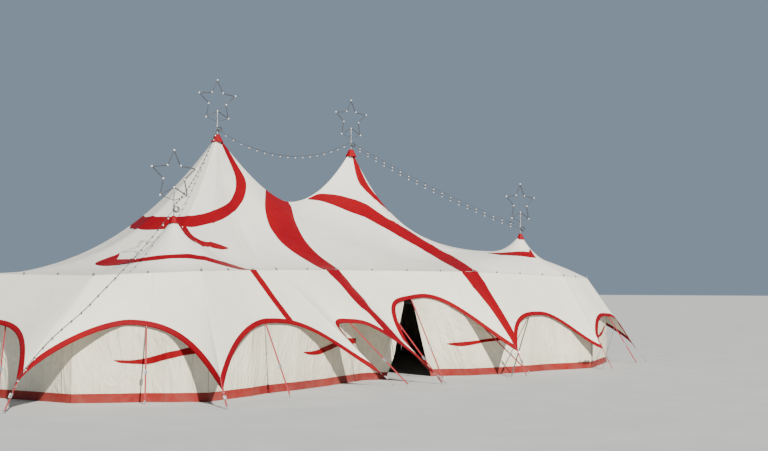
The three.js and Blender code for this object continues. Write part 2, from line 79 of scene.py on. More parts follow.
# Arches: place along the bay, reach outwards, crown height, and on the left and
# right side how squarely the edge turns in and how slowly it rises.
FRONT_ARCHES = [
    (0.44, 0.33, 2.108, (1.64, 2.3), (0.77, 1.2)),
    (0.50, 0.41, 2.072, (1.53, 2.78), (0.78, 1.24)),
    (0.42, 0.45, 1.975, (4.1, 5.1), (0.99, 0.86)),
    (0.405, 0.263, 2.728, (5.2, 2.95), (1.42, 1.14)),
    (0.485, 0.556, 2.098, (2.9, 1.9), (0.93, 1.42)),
    (0.59, 0.65, 1.952, (3.2, 5.4), (1.97, 1.12)),
]
REAR_ARCH = (0.5, 0.42, 2.1, (2.2, 2.2), (0.8, 0.8))
FRONT_BAYS = len(FRONT_ARCHES)
COUNT = len(SUPPORTS)
ARCHES = FRONT_ARCHES + [REAR_ARCH] * (COUNT - FRONT_BAYS)
ROOT, TIP, WALL_SHARE = (np.array(column) for column in zip(*SUPPORTS))
ARCH_AT, ARCH_REACH, ARCH_Z, ARCH_TURN, ARCH_RISE = (np.array(column) for column in zip(*ARCHES))

# The roof: its peaks, and how steeply it rises in the middle and at the ends
TALL_X, TALL_Z = 3.325, 8.7
SMALL_X, SMALL_Y, SMALL_Z = 8.325, -4.733, 5.28
RIDGE_SAG = 2.28
RIDGE_SHARE = 0.75
RIDGE_POWERS = (1.5, 2.0)
STEEP_MIDDLE, STEEP_BACK = 1.35, 2.8
STEEP_FRONT = (2.75, 4.03)
# What the small masts add to the roof: mast, lift, spread, roundness, steepness
RISES = [
    (-SMALL_X, 1.6908, 3.2, 1, 3.0),
    (SMALL_X, 0.924, 1.25, 1, 2.34),
    (SMALL_X, 1.029, 6.17, 2, 1.6),
]
RISE_FADE = 8
# Rays that look for the roof start above everything
RAY_TOP = 12.0

Mast = namedtuple("Mast", "x y peak shaft cap cap_height")
MASTS = {
    "tall_left": Mast(-TALL_X, 0.0, TALL_Z, 0.08, 0.21, 0.30),
    "tall_right": Mast(TALL_X, 0.0, TALL_Z, 0.08, 0.21, 0.30),
    "front_left": Mast(-SMALL_X, SMALL_Y, SMALL_Z, 0.05, 0.14, 0.24),
    "front_right": Mast(SMALL_X, SMALL_Y, SMALL_Z, 0.05, 0.14, 0.24),
}
STAR_RADIUS, STAR_INNER, STAR_ABOVE = 0.76, 0.48, 1.27
STAR_TUBE = 0.019
STAR_TURN = math.radians(9)
COLLAR_LOW, COLLAR_HIGH = 0.23, 0.34
CORD_WIDTH = 0.014
BULB_STEP = 0.39
STRAP_REACH, HOOK_HEIGHT = 0.42, 0.06
UP = np.array([0.0, 0.0, 1.0])


# Camera, from the photograph's horizon and vanishing points
FOCAL_PX, FRAME_PX, HORIZON_PX = 1150.0, 768.0, 62.5
SENSOR_MM = 36.0
PITCH = math.atan(HORIZON_PX / FOCAL_PX)
ASPECT_DIRECTION = (0.6949, 0.7191)
CAMERA_PLACE = (-28.09, -34.44, 3.1)


def make_camera():
    data = bpy.data.cameras.new("camera")
    data.sensor_width = SENSOR_MM
    data.lens = FOCAL_PX / FRAME_PX * SENSOR_MM
    data.clip_end = 600.0
    camera = bpy.data.objects.new("camera", data)
    camera.location = Vector(CAMERA_PLACE) + Vector(MIDDLE)
    level = Vector((*ASPECT_DIRECTION, 0)) * math.cos(PITCH)
    ahead = level + Vector((0, 0, math.sin(PITCH)))
    camera.rotation_euler = ahead.to_track_quat("-Z", "Y").to_euler()
    bpy.context.collection.objects.link(camera)
    bpy.context.scene.camera = camera


make_camera()


# Shapes of the membrane
def mix(a, b, share):
    return a + (b - a) * np.asarray(share)[..., None]


def bay_of(q):
    """The bay and the place along it, for q counted in bays around the tent."""
    q = np.asarray(q, float)
    whole = np.floor(q).astype(int)
    return whole % COUNT, (whole + 1) % COUNT, q - whole


def eaves(q):
    i, j, s = bay_of(q)
    return mix(ROOT[i], ROOT[j], s)


def hem(q):
    """The scalloped edge: between two tips it turns in and rises to the arch's crown."""
    i, j, s = bay_of(q)
    at = ARCH_AT[i]
    right = (s >= at).astype(int)
    off = np.minimum(1, np.abs(s - at) / np.where(right == 1, 1 - at, at))
    drawn = np.clip(1 - off ** ARCH_TURN[i, right], 0, 1)
    rise = drawn ** ARCH_RISE[i, right]
    base = mix(TIP[i], TIP[j], at)
    crown = mix(mix(ROOT[i], ROOT[j], at), base, ARCH_REACH[i])
    crown[..., 2] = ARCH_Z[i]
    return mix(TIP[i], TIP[j], s) + np.stack([drawn, drawn, rise], -1) * (crown - base)


def skirt(q, v):
    return mix(eaves(q), hem(q), v)


def roof(q, t):
    """The roof, from the ridge at t = 0 to the eaves at t = 1."""
    edge = eaves(q)
    ridge_x = np.clip(edge[..., 0] * RIDGE_SHARE, -TALL_X, TALL_X)
    side = np.abs(ridge_x) / TALL_X
    ridge_z = TALL_Z - RIDGE_SAG * (1 - side ** np.where(ridge_x < 0, *RIDGE_POWERS))
    front = np.where(edge[..., 0] < 0, *STEEP_FRONT)
    end = front + (STEEP_BACK - front) * np.clip(edge[..., 1] / ROOT[8, 1], 0, 1)
    steep = STEEP_MIDDLE + (end - STEEP_MIDDLE) * side ** 2
    x = ridge_x + (edge[..., 0] - ridge_x) * t
    y = edge[..., 1] * t
    z = edge[..., 2] + (ridge_z - edge[..., 2]) * (1 - t) ** steep
    for mast_x, lift, spread, roundness, power in RISES:
        far = np.minimum(1, np.hypot(x - mast_x, y - SMALL_Y) / spread)
        z = z + (1 - t ** RISE_FADE) * lift * (1 - far ** roundness) ** power
    return np.stack([x, y, z], -1)


def roof_height(x, y):
    """The highest point of the roof over a place in plan."""
    hit = cover.ray_cast(Vector((x, y, RAY_TOP)), Vector((0, 0, -1)))
    return hit[0].z if hit[0] else 0.0


def upward(normal):
    return normal if normal.z > 0 else -normal


def outward(k):
    """The way out in plan, from pole head k to its tip."""
    d = (TIP[k % COUNT] - ROOT[k % COUNT])[:2]
    return d / np.linalg.norm(d)


# Material helpers
def shader(name, roughness=0.5, metallic=0.0):
    material = bpy.data.materials.new(name)
    material.use_nodes = True
    tree = material.node_tree
    principled = tree.nodes["Principled BSDF"]
    principled.inputs["Roughness"].default_value = roughness
    principled.inputs["Metallic"].default_value = metallic
    return material, tree, principled


def add(tree, kind, links=(), **values):
    """A node, with named inputs set or linked, and its other settings."""
    node = tree.nodes.new(kind)
    for key, value in values.items():
        if hasattr(node, key):
            setattr(node, key, value)
        else:
            node.inputs[key].default_value = value
    for name, socket in dict(links).items():
        tree.links.new(socket, node.inputs[name])
    return node


def surface(tree, kind="Object"):
    return add(tree, "ShaderNodeTexCoord").outputs[kind]


def noise(tree, place, scale, detail=4.0, rough=0.55, distortion=0.0):
    return add(tree, "ShaderNodeTexNoise", {"Vector": place}, Scale=scale, Detail=detail,
               Roughness=rough, Distortion=distortion).outputs["Fac"]


def scaled(color, factor, more=0.0):
    return tuple(c * factor + more for c in color)


def grey(value):
    return (value,) * 3


def ramp(tree, factor, low, high, low_at=0.35, high_at=0.7):
    node = add(tree, "ShaderNodeValToRGB", {"Fac": factor})
    first, last = node.color_ramp.elements
    first.position, last.position = low_at, high_at
    first.color, last.color = (*low, 1), (*high, 1)
    return node.outputs["Color"]


def reckon(tree, operation, a, b=0.0):
    node = add(tree, "ShaderNodeMath", operation=operation)
    for k, value in enumerate((a, b)):
        if isinstance(value, (int, float)):
            node.inputs[k].default_value = value
        else:
            tree.links.new(value, node.inputs[k])
    return node.outputs[0]


def blended(tree, factor, a, b):
    """Colour a turned towards colour b; each is a socket or a plain colour."""
    node = add(tree, "ShaderNodeMix", data_type="RGBA")
    for k, value in ((0, factor), (6, a), (7, b)):
        if isinstance(value, tuple):
            node.inputs[k].default_value = (*value, 1)
        else:
            tree.links.new(value, node.inputs[k])
    return node.outputs[2]


def bumped(tree, principled, layers):
    """Bump layers, each (height socket, strength, distance), one over the other."""
    before = None
    for height, strength, distance in layers:
        node = add(tree, "ShaderNodeBump", {"Height": height}, Strength=strength, Distance=distance)
        if before:
            tree.links.new(before, node.inputs["Normal"])
        before = node.outputs["Normal"]
    tree.links.new(before, principled.inputs["Normal"])


def paint(tree, principled, color, roughness=None):
    tree.links.new(color, principled.inputs["Base Color"])
    if roughness is not None:
        tree.links.new(roughness, principled.inputs["Roughness"])


# Materials
DIRT = (0.33, 0.29, 0.22)
DIRT_HEIGHT = 1.1
SEAM_WIDTH = 0.035
THREADS = 42.0


def coated_fabric(name, clean, worn, seam_every=None, roughness=0.46, grime=0.0, gloss=0.35,
                  crumple=0.0):
    """Coated woven fabric. Its UV is in metres, so the weave and seams keep their size."""
    material, tree, principled = shader(name, roughness)
    uv, here = surface(tree, "UV"), surface(tree)
    broad = noise(tree, here, 0.32, 5, 0.6, 0.4)
    patchy = noise(tree, here, 2.3, 6, 0.62)
    stretched = add(tree, "ShaderNodeMapping", {"Vector": uv}, Scale=(2.2, 0.25, 1))
    streaks = noise(tree, stretched.outputs["Vector"], 1.6, 5, 0.6)
    color = ramp(tree, broad, worn, clean, 0.3, 0.62)
    color = blended(tree, ramp(tree, streaks, grey(0.0), grey(0.32), 0.5, 0.75), color, worn)
    color = blended(tree, ramp(tree, patchy, grey(0.0), grey(0.22), 0.55, 0.8), color,
                    scaled(worn, 0.82))
    layers = []
    if grime:
        height = add(tree, "ShaderNodeSeparateXYZ", {"Vector": here}).outputs["Z"]
        low = reckon(tree, "MULTIPLY", reckon(tree, "SUBTRACT", DIRT_HEIGHT, height), 0.9)
        dirt = reckon(tree, "MULTIPLY", low, patchy)
        color = blended(tree, ramp(tree, dirt, grey(0.0), grey(grime), 0.15, 0.9), color, DIRT)
    if seam_every:
        across = add(tree, "ShaderNodeSeparateXYZ", {"Vector": uv}).outputs["X"]
        inside = reckon(tree, "FRACT", reckon(tree, "DIVIDE", across, seam_every))
        seam = reckon(tree, "LESS_THAN", inside, SEAM_WIDTH)
        faint = reckon(tree, "MULTIPLY", seam, 0.09)
        color = blended(tree, faint, color, scaled(worn, 0.55))
        layers.append((seam, 0.22, 0.003))
    warp = add(tree, "ShaderNodeTexWave", {"Vector": uv}, bands_direction="X", Scale=THREADS)
    weft = add(tree, "ShaderNodeTexWave", {"Vector": uv}, bands_direction="Y", Scale=THREADS)
    layers.append((reckon(tree, "MULTIPLY", warp.outputs["Fac"], weft.outputs["Fac"]), 0.06, 0.002))
    layers.append((noise(tree, here, 0.85, 3, 0.5, 0.6), 0.16, 0.10))
    if crumple:
        slack = add(tree, "ShaderNodeMapping", {"Vector": uv}, Rotation=(0, 0, 0.7),
                    Scale=(1.9, 0.6, 1))
        creases = noise(tree, slack.outputs["Vector"], 1.5, 4, 0.5, 1.4)
        fold = reckon(tree, "ABSOLUTE", reckon(tree, "SUBTRACT", creases, 0.5))
        layers.append((fold, crumple, 0.22))
    shine = ramp(tree, patchy, grey(roughness - 0.06), grey(roughness + 0.14))
    paint(tree, principled, color, shine)
    principled.inputs["Specular IOR Level"].default_value = gloss
    bumped(tree, principled, layers)
    return material


def webbing(name, color, dark):
    """Woven strap webbing, with its ribs across."""
    material, tree, principled = shader(name, 0.7)
    here = surface(tree)
    ribs = add(tree, "ShaderNodeTexWave", {"Vector": here}, bands_direction="Z", Scale=36.0)
    grime = ramp(tree, noise(tree, here, 5.0, 5), grey(0.15), grey(0.75))
    paint(tree, principled, blended(tree, grime, color, dark))
    principled.inputs["Sheen Weight"].default_value = 0.2
    bumped(tree, principled, [(ribs.outputs["Fac"], 0.3, 0.002)])
    return material


def galvanised(name, light, dark, roughness=0.42, metallic=0.85):
    """Spangled zinc, or with no metal in it a weathered painted wire."""
    material, tree, principled = shader(name, roughness, metallic)
    here = surface(tree)
    spangle = add(tree, "ShaderNodeTexVoronoi", {"Vector": here}, Scale=38.0)
    tone = add(tree, "ShaderNodeRGBToBW", {"Color": spangle.outputs["Color"]})
    stain = noise(tree, here, 3.0, 6, 0.65)
    color = ramp(tree, tone.outputs["Val"], dark, light, 0.1, 0.9)
    color = blended(tree, ramp(tree, stain, grey(0.0), grey(0.45), 0.5, 0.8), color,
                    scaled(dark, 0.6))
    paint(tree, principled, color, ramp(tree, stain, grey(roughness - 0.1), grey(roughness + 0.2)))
    bumped(tree, principled, [(stain, 0.08, 0.01)])
    return material


def rubber(name, color):
    material, tree, principled = shader(name, 0.6)
    dust = noise(tree, surface(tree), 9.0, 5)
    paint(tree, principled, ramp(tree, dust, color, scaled(color, 2.2, 0.02)))
    bumped(tree, principled, [(dust, 0.15, 0.002)])
    return material


def frosted_glass(name):
    material, tree, principled = shader(name, 0.22)
    cloudy = noise(tree, surface(tree), 30.0, 3)
    paint(tree, principled, ramp(tree, cloudy, (0.66, 0.65, 0.60), (0.90, 0.89, 0.85)))
    principled.inputs["Coat Weight"].default_value = 0.6
    principled.inputs["Coat Roughness"].default_value = 0.08
    bumped(tree, principled, [(cloudy, 0.03, 0.002)])
    return material


# Roof and skirts are one membrane. The roof's copy is darker than the skirts': this is painted
# shade for the roof, which catches the low sun less.
SHADED_ROOF_CREAM = coated_fabric("membrane_cream_painted_shade", (0.76, 0.735, 0.655), (0.65, 0.63, 0.58), seam_every=1.45)
SKIRT_CREAM = coated_fabric("skirt_cream", (0.83, 0.80, 0.69), (0.74, 0.71, 0.61), seam_every=1.6)
WALL_CREAM = coated_fabric("wall_cream", (0.78, 0.735, 0.585), (0.62, 0.58, 0.46), seam_every=2.0,
                           roughness=0.5, grime=0.55, crumple=0.6)
RED = coated_fabric("membrane_red", (0.235, 0.0, 0.004), (0.17, 0.0, 0.006), roughness=0.55,
                    gloss=0.12)
WALL_RED = coated_fabric("wall_red", (0.25, 0.0, 0.003), (0.18, 0.0, 0.005), roughness=0.55,
                         grime=0.3, gloss=0.12)
CAP_RED = coated_fabric("cap_red", (0.27, 0.0, 0.004), (0.19, 0.0, 0.006), roughness=0.55,
                        gloss=0.15)
RED_WEB = webbing("webbing_red", (0.36, 0.02, 0.025), (0.22, 0.015, 0.02))
DARK_WEB = webbing("webbing_dark", (0.04, 0.04, 0.045), (0.09, 0.085, 0.08))
CREAM_WEB = webbing("webbing_cream", (0.62, 0.60, 0.53), (0.45, 0.43, 0.37))
STEEL = galvanised("galvanised_steel", (0.62, 0.63, 0.64), (0.42, 0.43, 0.44))
WIRE = galvanised("star_wire", (0.07, 0.075, 0.09), (0.035, 0.038, 0.045), 0.55, 0.0)
CABLE = rubber("cable_rubber", (0.018, 0.018, 0.02))
BULB = frosted_glass("bulb_glass")
SOCKET = rubber("bulb_socket", (0.03, 0.03, 0.032))


# Mesh helpers
def piece(name, points, faces, materials, uv=None, indices=None, sharp=None):
    mesh = bpy.data.meshes.new(name)
    mesh.from_pydata((np.asarray(points, float) + MIDDLE).tolist(), [],
                     [tuple(int(k) for k in f) for f in faces])
    for material in materials:
        mesh.materials.append(material)
    mesh.polygons.foreach_set("use_smooth", [True] * len(mesh.polygons))
    if indices is not None:
        mesh.polygons.foreach_set("material_index", list(indices))
    if uv is not None:
        layer = mesh.uv_layers.new(name="UVMap")
        corners = np.zeros(len(mesh.loops), np.int32)
        mesh.loops.foreach_get("vertex_index", corners)
        layer.data.foreach_set("uv", np.asarray(uv, np.float32)[corners].ravel())
    mesh.update()
    if sharp is not None:
        mesh.set_sharp_from_angle(angle=math.radians(sharp))
    made = bpy.data.objects.new(name, mesh)
    bpy.context.collection.objects.link(made)
    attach(made, "root")
    return made


def grid_faces(rows, cols):
    r, c = np.meshgrid(np.arange(rows - 1), np.arange(cols - 1), indexing="ij")
    a = (r * cols + c).ravel()
    return np.stack([a, a + 1, a + cols + 1, a + cols], 1)


def strip_uv(along, width, steps):
    """UV in metres for a strip with steps points across its width."""
    return np.stack([np.repeat(along, steps), np.tile(np.linspace(0, width, steps), len(along))], 1)


def turns(count):
    return np.arange(count) * 2 * math.pi / count


def unit(vector):
    return vector / np.linalg.norm(vector)


def distances(points):
    steps = np.linalg.norm(np.diff(points, axis=0), axis=1)
    return np.concatenate([[0], np.cumsum(steps)])


def resampled(line, count, skip=(0.0, 0.0)):
    """The line as count even points, less the lengths in skip at its ends."""
    along = distances(line)
    at = np.linspace(skip[0], along[-1] - skip[1], count)
    return np.stack([np.interp(at, along, column) for column in line.T], 1)


def along_curve(points, places):
    """A smooth curve through the points, at places counted in points."""
    p = np.asarray(points, float)
    p = np.vstack([2 * p[0] - p[1], p, 2 * p[-1] - p[-2]])
    k = np.minimum(np.floor(places).astype(int), len(p) - 4)
    u = (places - k)[:, None]
    a, b, c, d = p[k], p[k + 1], p[k + 2], p[k + 3]
    return 0.5 * (2 * b + (c - a) * u + (2 * a - 5 * b + 4 * c - d) * u ** 2
                  + (3 * b - a - 3 * c + d) * u ** 3)


def spline(points, count, steps=12):
    """An even line of count points, on a smooth curve through the given ones."""
    places = np.arange((len(points) - 1) * steps + 1) / steps
    return resampled(along_curve(points, places), count)


def declare_cloth(made, width, with_pieces=()):
    """Sums the sheet's area and lists the pieces it carries, and keeps neither; nothing is stated
    and the sheet is not widened. Made a little wider where its area asks for it.
    """
    area = float(sum(p.area for p in made.data.polygons))
    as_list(with_pieces)


class Parts:
    """Collects small solids into one mesh."""

    def __init__(self):
        self.points, self.faces, self.indices = [], [], []

    def put(self, points, faces, index=0):
        base = len(self.points)
        self.points += [tuple(p) for p in points]
        self.faces += [tuple(base + int(k) for k in f) for f in faces]
        self.indices += [index] * len(faces)

    def join(self, rings, index=0, closed=False):
        """Joins rings of points one to the next, with flat ends unless it is closed."""
        n, sides = len(rings), len(rings[0])
        faces = []
        for k in range(n if closed else n - 1):
            here, there = k * sides, (k + 1) % n * sides
            for j in range(sides):
                beside = (j + 1) % sides
                faces.append((here + j, here + beside, there + beside, there + j))
        if not closed:
            faces += [tuple(range(sides))[::-1], tuple(range((n - 1) * sides, n * sides))]
        self.put(np.vstack(rings), faces, index)

    def tube(self, path, radius, sides=8, index=0, closed=False):
        path = np.asarray(path, float)
        before, after = np.roll(path, 1, 0), np.roll(path, -1, 0)
        if not closed:
            before[0], after[-1] = path[0], path[-1]
        along = after - before
        along /= np.linalg.norm(along, axis=1)[:, None]
        side = np.cross(along[0], (0, 0, 1) if abs(along[0][2]) < 0.9 else (1, 0, 0))
        turn = turns(sides)[:, None]
        rings = []
        for place, ahead in zip(path, along):
            side = unit(side - ahead * side.dot(ahead))
            up = np.cross(ahead, side)
            rings.append(place + radius * (np.cos(turn) * side + np.sin(turn) * up))
        self.join(rings, index, closed)

    def lathe(self, profile, place, sides=24, index=0, axis=None):
        """A closed turned form; profile is (radius, height) from bottom to top."""
        points = [[0, 0, profile[0][1]]]
        for r, z in profile:
            points += [[r * math.cos(a), r * math.sin(a), z] for a in turns(sides)]
        points.append([0, 0, profile[-1][1]])
        last = 1 + (len(profile) - 1) * sides
        faces = []
        for k in range(sides):
            j = (k + 1) % sides
            faces.append((0, 1 + j, 1 + k))
            for ring in range(1, last, sides):
                faces.append((ring + k, ring + j, ring + sides + j, ring + sides + k))
            faces.append((len(points) - 1, last + k, last + j))
        points = np.array(points)
        if axis is not None:
            turned = Vector((0, 0, 1)).rotation_difference(Vector(axis)).to_matrix()
            points = points @ np.array(turned).T
        self.put(points + np.asarray(place), faces, index)

    def ball(self, place, radius, sides=12, rings=8, index=0, stretch=1.0):
        profile = [(radius * math.sin(a), -radius * stretch * math.cos(a))
                   for a in np.linspace(0.12, math.pi - 0.12, rings)]
        self.lathe(profile, place, sides, index)

    def strap(self, path, width, thick, across, index=0):
        """A flat band along a path, its width turned towards across."""
        path = np.asarray(path, float)
        rings = []
        for k, p in enumerate(path):
            along = unit(path[min(k + 1, len(path) - 1)] - path[max(k - 1, 0)])
            wide = unit(across - along * across.dot(along))
            deep = np.cross(along, wide)
            rings.append([p + wide * a * width / 2 + deep * b * thick / 2
                          for a, b in ((-1, -1), (1, -1), (1, 1), (-1, 1))])
        self.join(rings, index)

    def box(self, place, along, across, size, index=0):
        """A block of size (along, across, deep) with its corners cut."""
        along = unit(np.asarray(along, float))
        across = unit(np.asarray(across, float) - along * np.dot(across, along))
        deep = np.cross(along, across)
        a, b, c = np.asarray(size) / 2
        cut = min(a, b) * 0.3
        outline = [(-a + cut, -b), (a - cut, -b), (a, -b + cut), (a, b - cut),
                   (a - cut, b), (-a + cut, b), (-a, b - cut), (-a, -b + cut)]
        self.join([[place + along * x + across * y + deep * z for x, y in outline]
                   for z in (-c, c)], index)

    def made(self, name, materials, slot, sharp=35):
        return piece(name, self.points, self.faces, materials, None, self.indices, sharp)


# Light strings. Each is a hanging cable from collar to collar; the routes are
# those of the CAD strings.
INSIDE_COLLAR = 0.04
STRING_RUNS = [
    ("tall_left", COLLAR_LOW, "tall_right", COLLAR_HIGH, 0.78),
    ("tall_right", COLLAR_HIGH, "front_right", COLLAR_HIGH, 0.20),
    ("tall_right", COLLAR_LOW, "front_right", COLLAR_LOW, 0.22),
    ("front_left", COLLAR_HIGH, "tall_left", COLLAR_LOW, 0.30),
]
# The last string lies over the skirt, at these (bay place, share down the skirt)
LAID = [(0.26, 0), (0.193, 0.298), (0.148, 0.532), (0.091, 0.669), (0.056, 0.75), (0.02, 0.88)]
LAID_LIFT, TIP_LIFT, ALONG_STRAP = 0.08, 0.07, 0.35
FREE_SAG, LAID_STEPS = 0.06, 80
SOCKET_PROFILE = [(0.016, -0.046), (0.024, -0.040), (0.024, -0.006), (0.014, 0.014)]
BULB_RADIUS, BULB_DROP = 0.024, 0.060


def hung(start, end, sag, count=49):
    f = np.linspace(0, 1, count)[:, None]
    line = np.asarray(start) + (np.asarray(end) - np.asarray(start)) * f
    line[:, 2] -= (4 * sag * f * (1 - f))[:, 0]
    return line


def collar_at(name, above):
    mast = MASTS[name]
    return np.array([mast.x, mast.y, mast.peak + above])


def strap_hook(k):
    """Where the strap of tip k is hooked to its stake."""
    return np.array([*(TIP[k][:2] + outward(k) * STRAP_REACH), HOOK_HEIGHT])


def string_over_skirt():
    """From the small left mast down over the skirt to the strap of the first tip."""
    laid = [skirt(q, v) + UP * LAID_LIFT for q, v in LAID]
    laid.append(TIP[0] + UP * TIP_LIFT)
    on_strap = TIP[0] + (strap_hook(0) - TIP[0]) * ALONG_STRAP
    free = hung(collar_at("front_left", COLLAR_LOW), laid[0], FREE_SAG, 9)[:-1]
    line = spline([*free, *laid, on_strap], LAID_STEPS)
    return resampled(line, LAID_STEPS, (INSIDE_COLLAR, 0.03))


def string_lines():
    for a, low, b, high, sag in STRING_RUNS:
        line = hung(collar_at(a, low), collar_at(b, high), sag)
        yield resampled(line, len(line), (INSIDE_COLLAR, INSIDE_COLLAR))
    yield string_over_skirt()


def light_string(k, line):
    curve = bpy.data.curves.new(f"light_string_{k}", "CURVE")
    curve.dimensions = "3D"
    curve.bevel_depth = CORD_WIDTH / 2
    curve.bevel_resolution = 2
    run = curve.splines.new("POLY")
    run.points.add(len(line) - 1)
    for point, place in zip(run.points, line + MIDDLE):
        point.co = (*place, 1)
    curve.materials.append(CABLE)
    cable = bpy.data.objects.new(f"light_string_{k}", curve)
    bpy.context.collection.objects.link(cable)
    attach(cable, "root")
    bulbs = Parts()
    long = distances(line)[-1]
    for place in resampled(line, int(long / BULB_STEP) + 2)[1:-1]:
        bulbs.lathe(SOCKET_PROFILE, place, 10, 1)
        bulbs.ball(place - UP * BULB_DROP, BULB_RADIUS, 10, 7, 0, 1.1)
    lamps = bulbs.made(f"string_bulbs_{k}", [BULB, SOCKET], "cable", 50)
    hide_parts(f"string_{k}")


for number, line in enumerate(string_lines(), 1):
    light_string(number, line)


# The membrane, as fine sheets, finer on the front
ROOF_ROWS = np.linspace(0, 1, 66) ** 1.45
SKIRT_ROWS = np.linspace(0, 1, 22)
ROOF_STEPS, SKIRT_STEPS = (24, 12), (44, 26)
# Tension folds: height, waves in radians along a bay, and reach as a share of it
TENSION_HEIGHT, TENSION_WAVES, TENSION_REACH = 0.010, 150, 0.045
SKIRTS = {
    "skirt_front_1": (0, 1), "skirt_front_2": (1, 1), "skirt_front_3": (2, 1),
    "skirt_entrance": (3, 1), "skirt_front_5": (4, 1), "skirt_front_6": (5, 1),
    "skirt_right_end": (6, 2), "skirt_back_right_end": (8, 1), "skirt_back_right": (9, 1),
    "skirt_back": (10, 1), "skirt_back_left": (11, 1), "skirt_back_left_end": (12, 1),
    "skirt_left_end": (13, 2),
}
# Joints between the roof panels: the x of the mast, and the pole head it leads to
JOINTS = [(-TALL_X, 0), (-TALL_X, 2), (TALL_X, 4), (TALL_X, 6), (TALL_X, 8), (TALL_X, 10),
          (-TALL_X, 11), (-TALL_X, 13), (-TALL_X, 15)]
PANEL_NAMES = ["roof_front_left", "roof_front", "roof_front_right", "roof_right_end",
               "roof_back_right", "roof_back", "roof_back_left", "roof_left_end"]
PANELS = {name: ends for name, *ends in zip(PANEL_NAMES, JOINTS, JOINTS[1:])}


def steps_of(bay, steps):
    return steps[0] if bay < FRONT_BAYS else steps[1]


def membrane_grid(columns, rows, points):
    """Points, faces and UV in metres of a sheet that hangs from the eaves or leads to them."""
    long = np.linalg.norm(points[:, -1] - points[:, 0], axis=1)
    around = np.repeat(distances(eaves(columns)), len(rows))
    uv = np.stack([around, (long[:, None] * rows).ravel()], 1)
    return points, grid_faces(len(columns), len(rows)), uv


def roof_grid():
    columns = np.concatenate([k + np.linspace(0, 1, steps_of(k, ROOF_STEPS), endpoint=False)
                              for k in range(COUNT)] + [[COUNT]])
    q, t = np.meshgrid(columns, ROOF_ROWS, indexing="ij")
    return membrane_grid(columns, ROOF_ROWS, roof(q, t))


def folds(q, v):
    """Small tension folds that run up the skirt from its strapped tips."""
    _, _, s = bay_of(q)
    near = np.minimum(s, 1 - s)
    waves = np.sin(near * TENSION_WAVES) * np.exp(-near / TENSION_REACH)
    return TENSION_HEIGHT * waves * np.sin(v * math.pi) ** 1.5


def bay_columns(first, bays, steps):
    """Places along the bays, closer together near the tips."""
    part = (1 - np.cos(np.linspace(0, math.pi, steps + 1)[:-1])) / 2
    return np.concatenate([first + b + part for b in range(bays)] + [[first + bays]])


def skirt_grid(first, bays):
    columns = bay_columns(first, bays, steps_of(first, SKIRT_STEPS))
    q, v = np.meshgrid(columns, SKIRT_ROWS, indexing="ij")
    points = skirt(q, v)
    points[..., 2] += folds(q, v)
    return membrane_grid(columns, SKIRT_ROWS, points)


def tree_of(points, faces):
    return BVHTree.FromPolygons(points.reshape(-1, 3).tolist(), faces.tolist())


def covering(grids):
    """One tree of all the sheets, for laying things on them."""
    points, faces, count = [], [], 0
    for grid, quads, _ in grids:
        points.append(grid.reshape(-1, 3))
        faces.append(quads + count)
        count += len(points[-1])
    return tree_of(np.vstack(points), np.vstack(faces))


roof_points, roof_faces, roof_uv = roof_grid()
skirt_grids = {name: skirt_grid(*span) for name, span in SKIRTS.items()}
cover = covering([(roof_points, roof_faces, roof_uv), *skirt_grids.values()])


def keep_side(cut, place, normal):
    """Cuts a mesh by an upright plane and keeps what lies on the normal's side."""
    geometry = [*cut.verts, *cut.edges, *cut.faces]
    bmesh.ops.bisect_plane(cut, geom=geometry, plane_co=Vector(place) + Vector(MIDDLE),
                           plane_no=Vector(normal), clear_inner=True, dist=1e-6)


def roof_panel(name, start, end):
    made = piece("cloth_" + name, roof_points.reshape(-1, 3), roof_faces, [SHADED_ROOF_CREAM],
                 roof_uv)
    cut = bmesh.new()
    cut.from_mesh(made.data)
    for (x, k), side in ((start, 1), (end, -1)):
        away = ROOT[k % COUNT][:2] - (x, 0)
        keep_side(cut, (x, 0, 0), (-away[1] * side, away[0] * side, 0))
    if start[0] != end[0]:
        keep_side(cut, (0, 0, 0), (0, -1 if name == "roof_front" else 1, 0))
    cut.to_mesh(made.data)
    cut.free()
    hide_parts(name)
    return made


panel_pieces = {name: roof_panel(name, *ends) for name, ends in PANELS.items()}


# Red stripes, laid on the membrane. Each pair is the stripe's two edges, in plan.
STRIPE_LIFT, STRIPE_WIDTH = 0.012, 0.6
HOOK_LEFT = [
    (-3.06, 0.00, -3.20, -0.03), (-2.84, -0.01, -3.14, -0.10), (-2.63, -0.10, -3.06, -0.19),
    (-2.45, -0.24, -2.98, -0.29), (-2.36, -0.39, -2.93, -0.42), (-2.43, -0.58, -2.93, -0.58),
    (-2.67, -0.87, -3.04, -0.77), (-3.00, -1.16, -3.22, -0.97), (-3.41, -1.41, -3.52, -1.19),
    (-3.80, -1.61, -3.86, -1.41), (-4.12, -1.81, -4.14, -1.58), (-4.64, -2.12, -4.64, -1.86),
    (-5.06, -2.35, -4.85, -1.97), (-5.23, -2.45, -4.93, -2.00), (-5.27, -2.45, -4.97, -1.99),
    (-5.45, -2.38, -5.14, -1.94), (-5.66, -2.30, -5.36, -1.84), (-5.94, -2.13, -5.66, -1.64),
    (-6.25, -1.65, -5.80, -1.25), (-6.44, -1.08, -5.89, -0.85), (-6.56, -0.65, -5.96, -0.50),
    (-6.64, -0.15, -6.03, -0.13), (-6.55, 0.35, -5.95, 0.30), (-6.36, 0.75, -5.78, 0.85),
    (-6.15, 1.29, -5.60, 1.24), (-5.55, 2.10, -5.25, 1.95), (-4.90, 2.75, -4.88, 2.72),
]
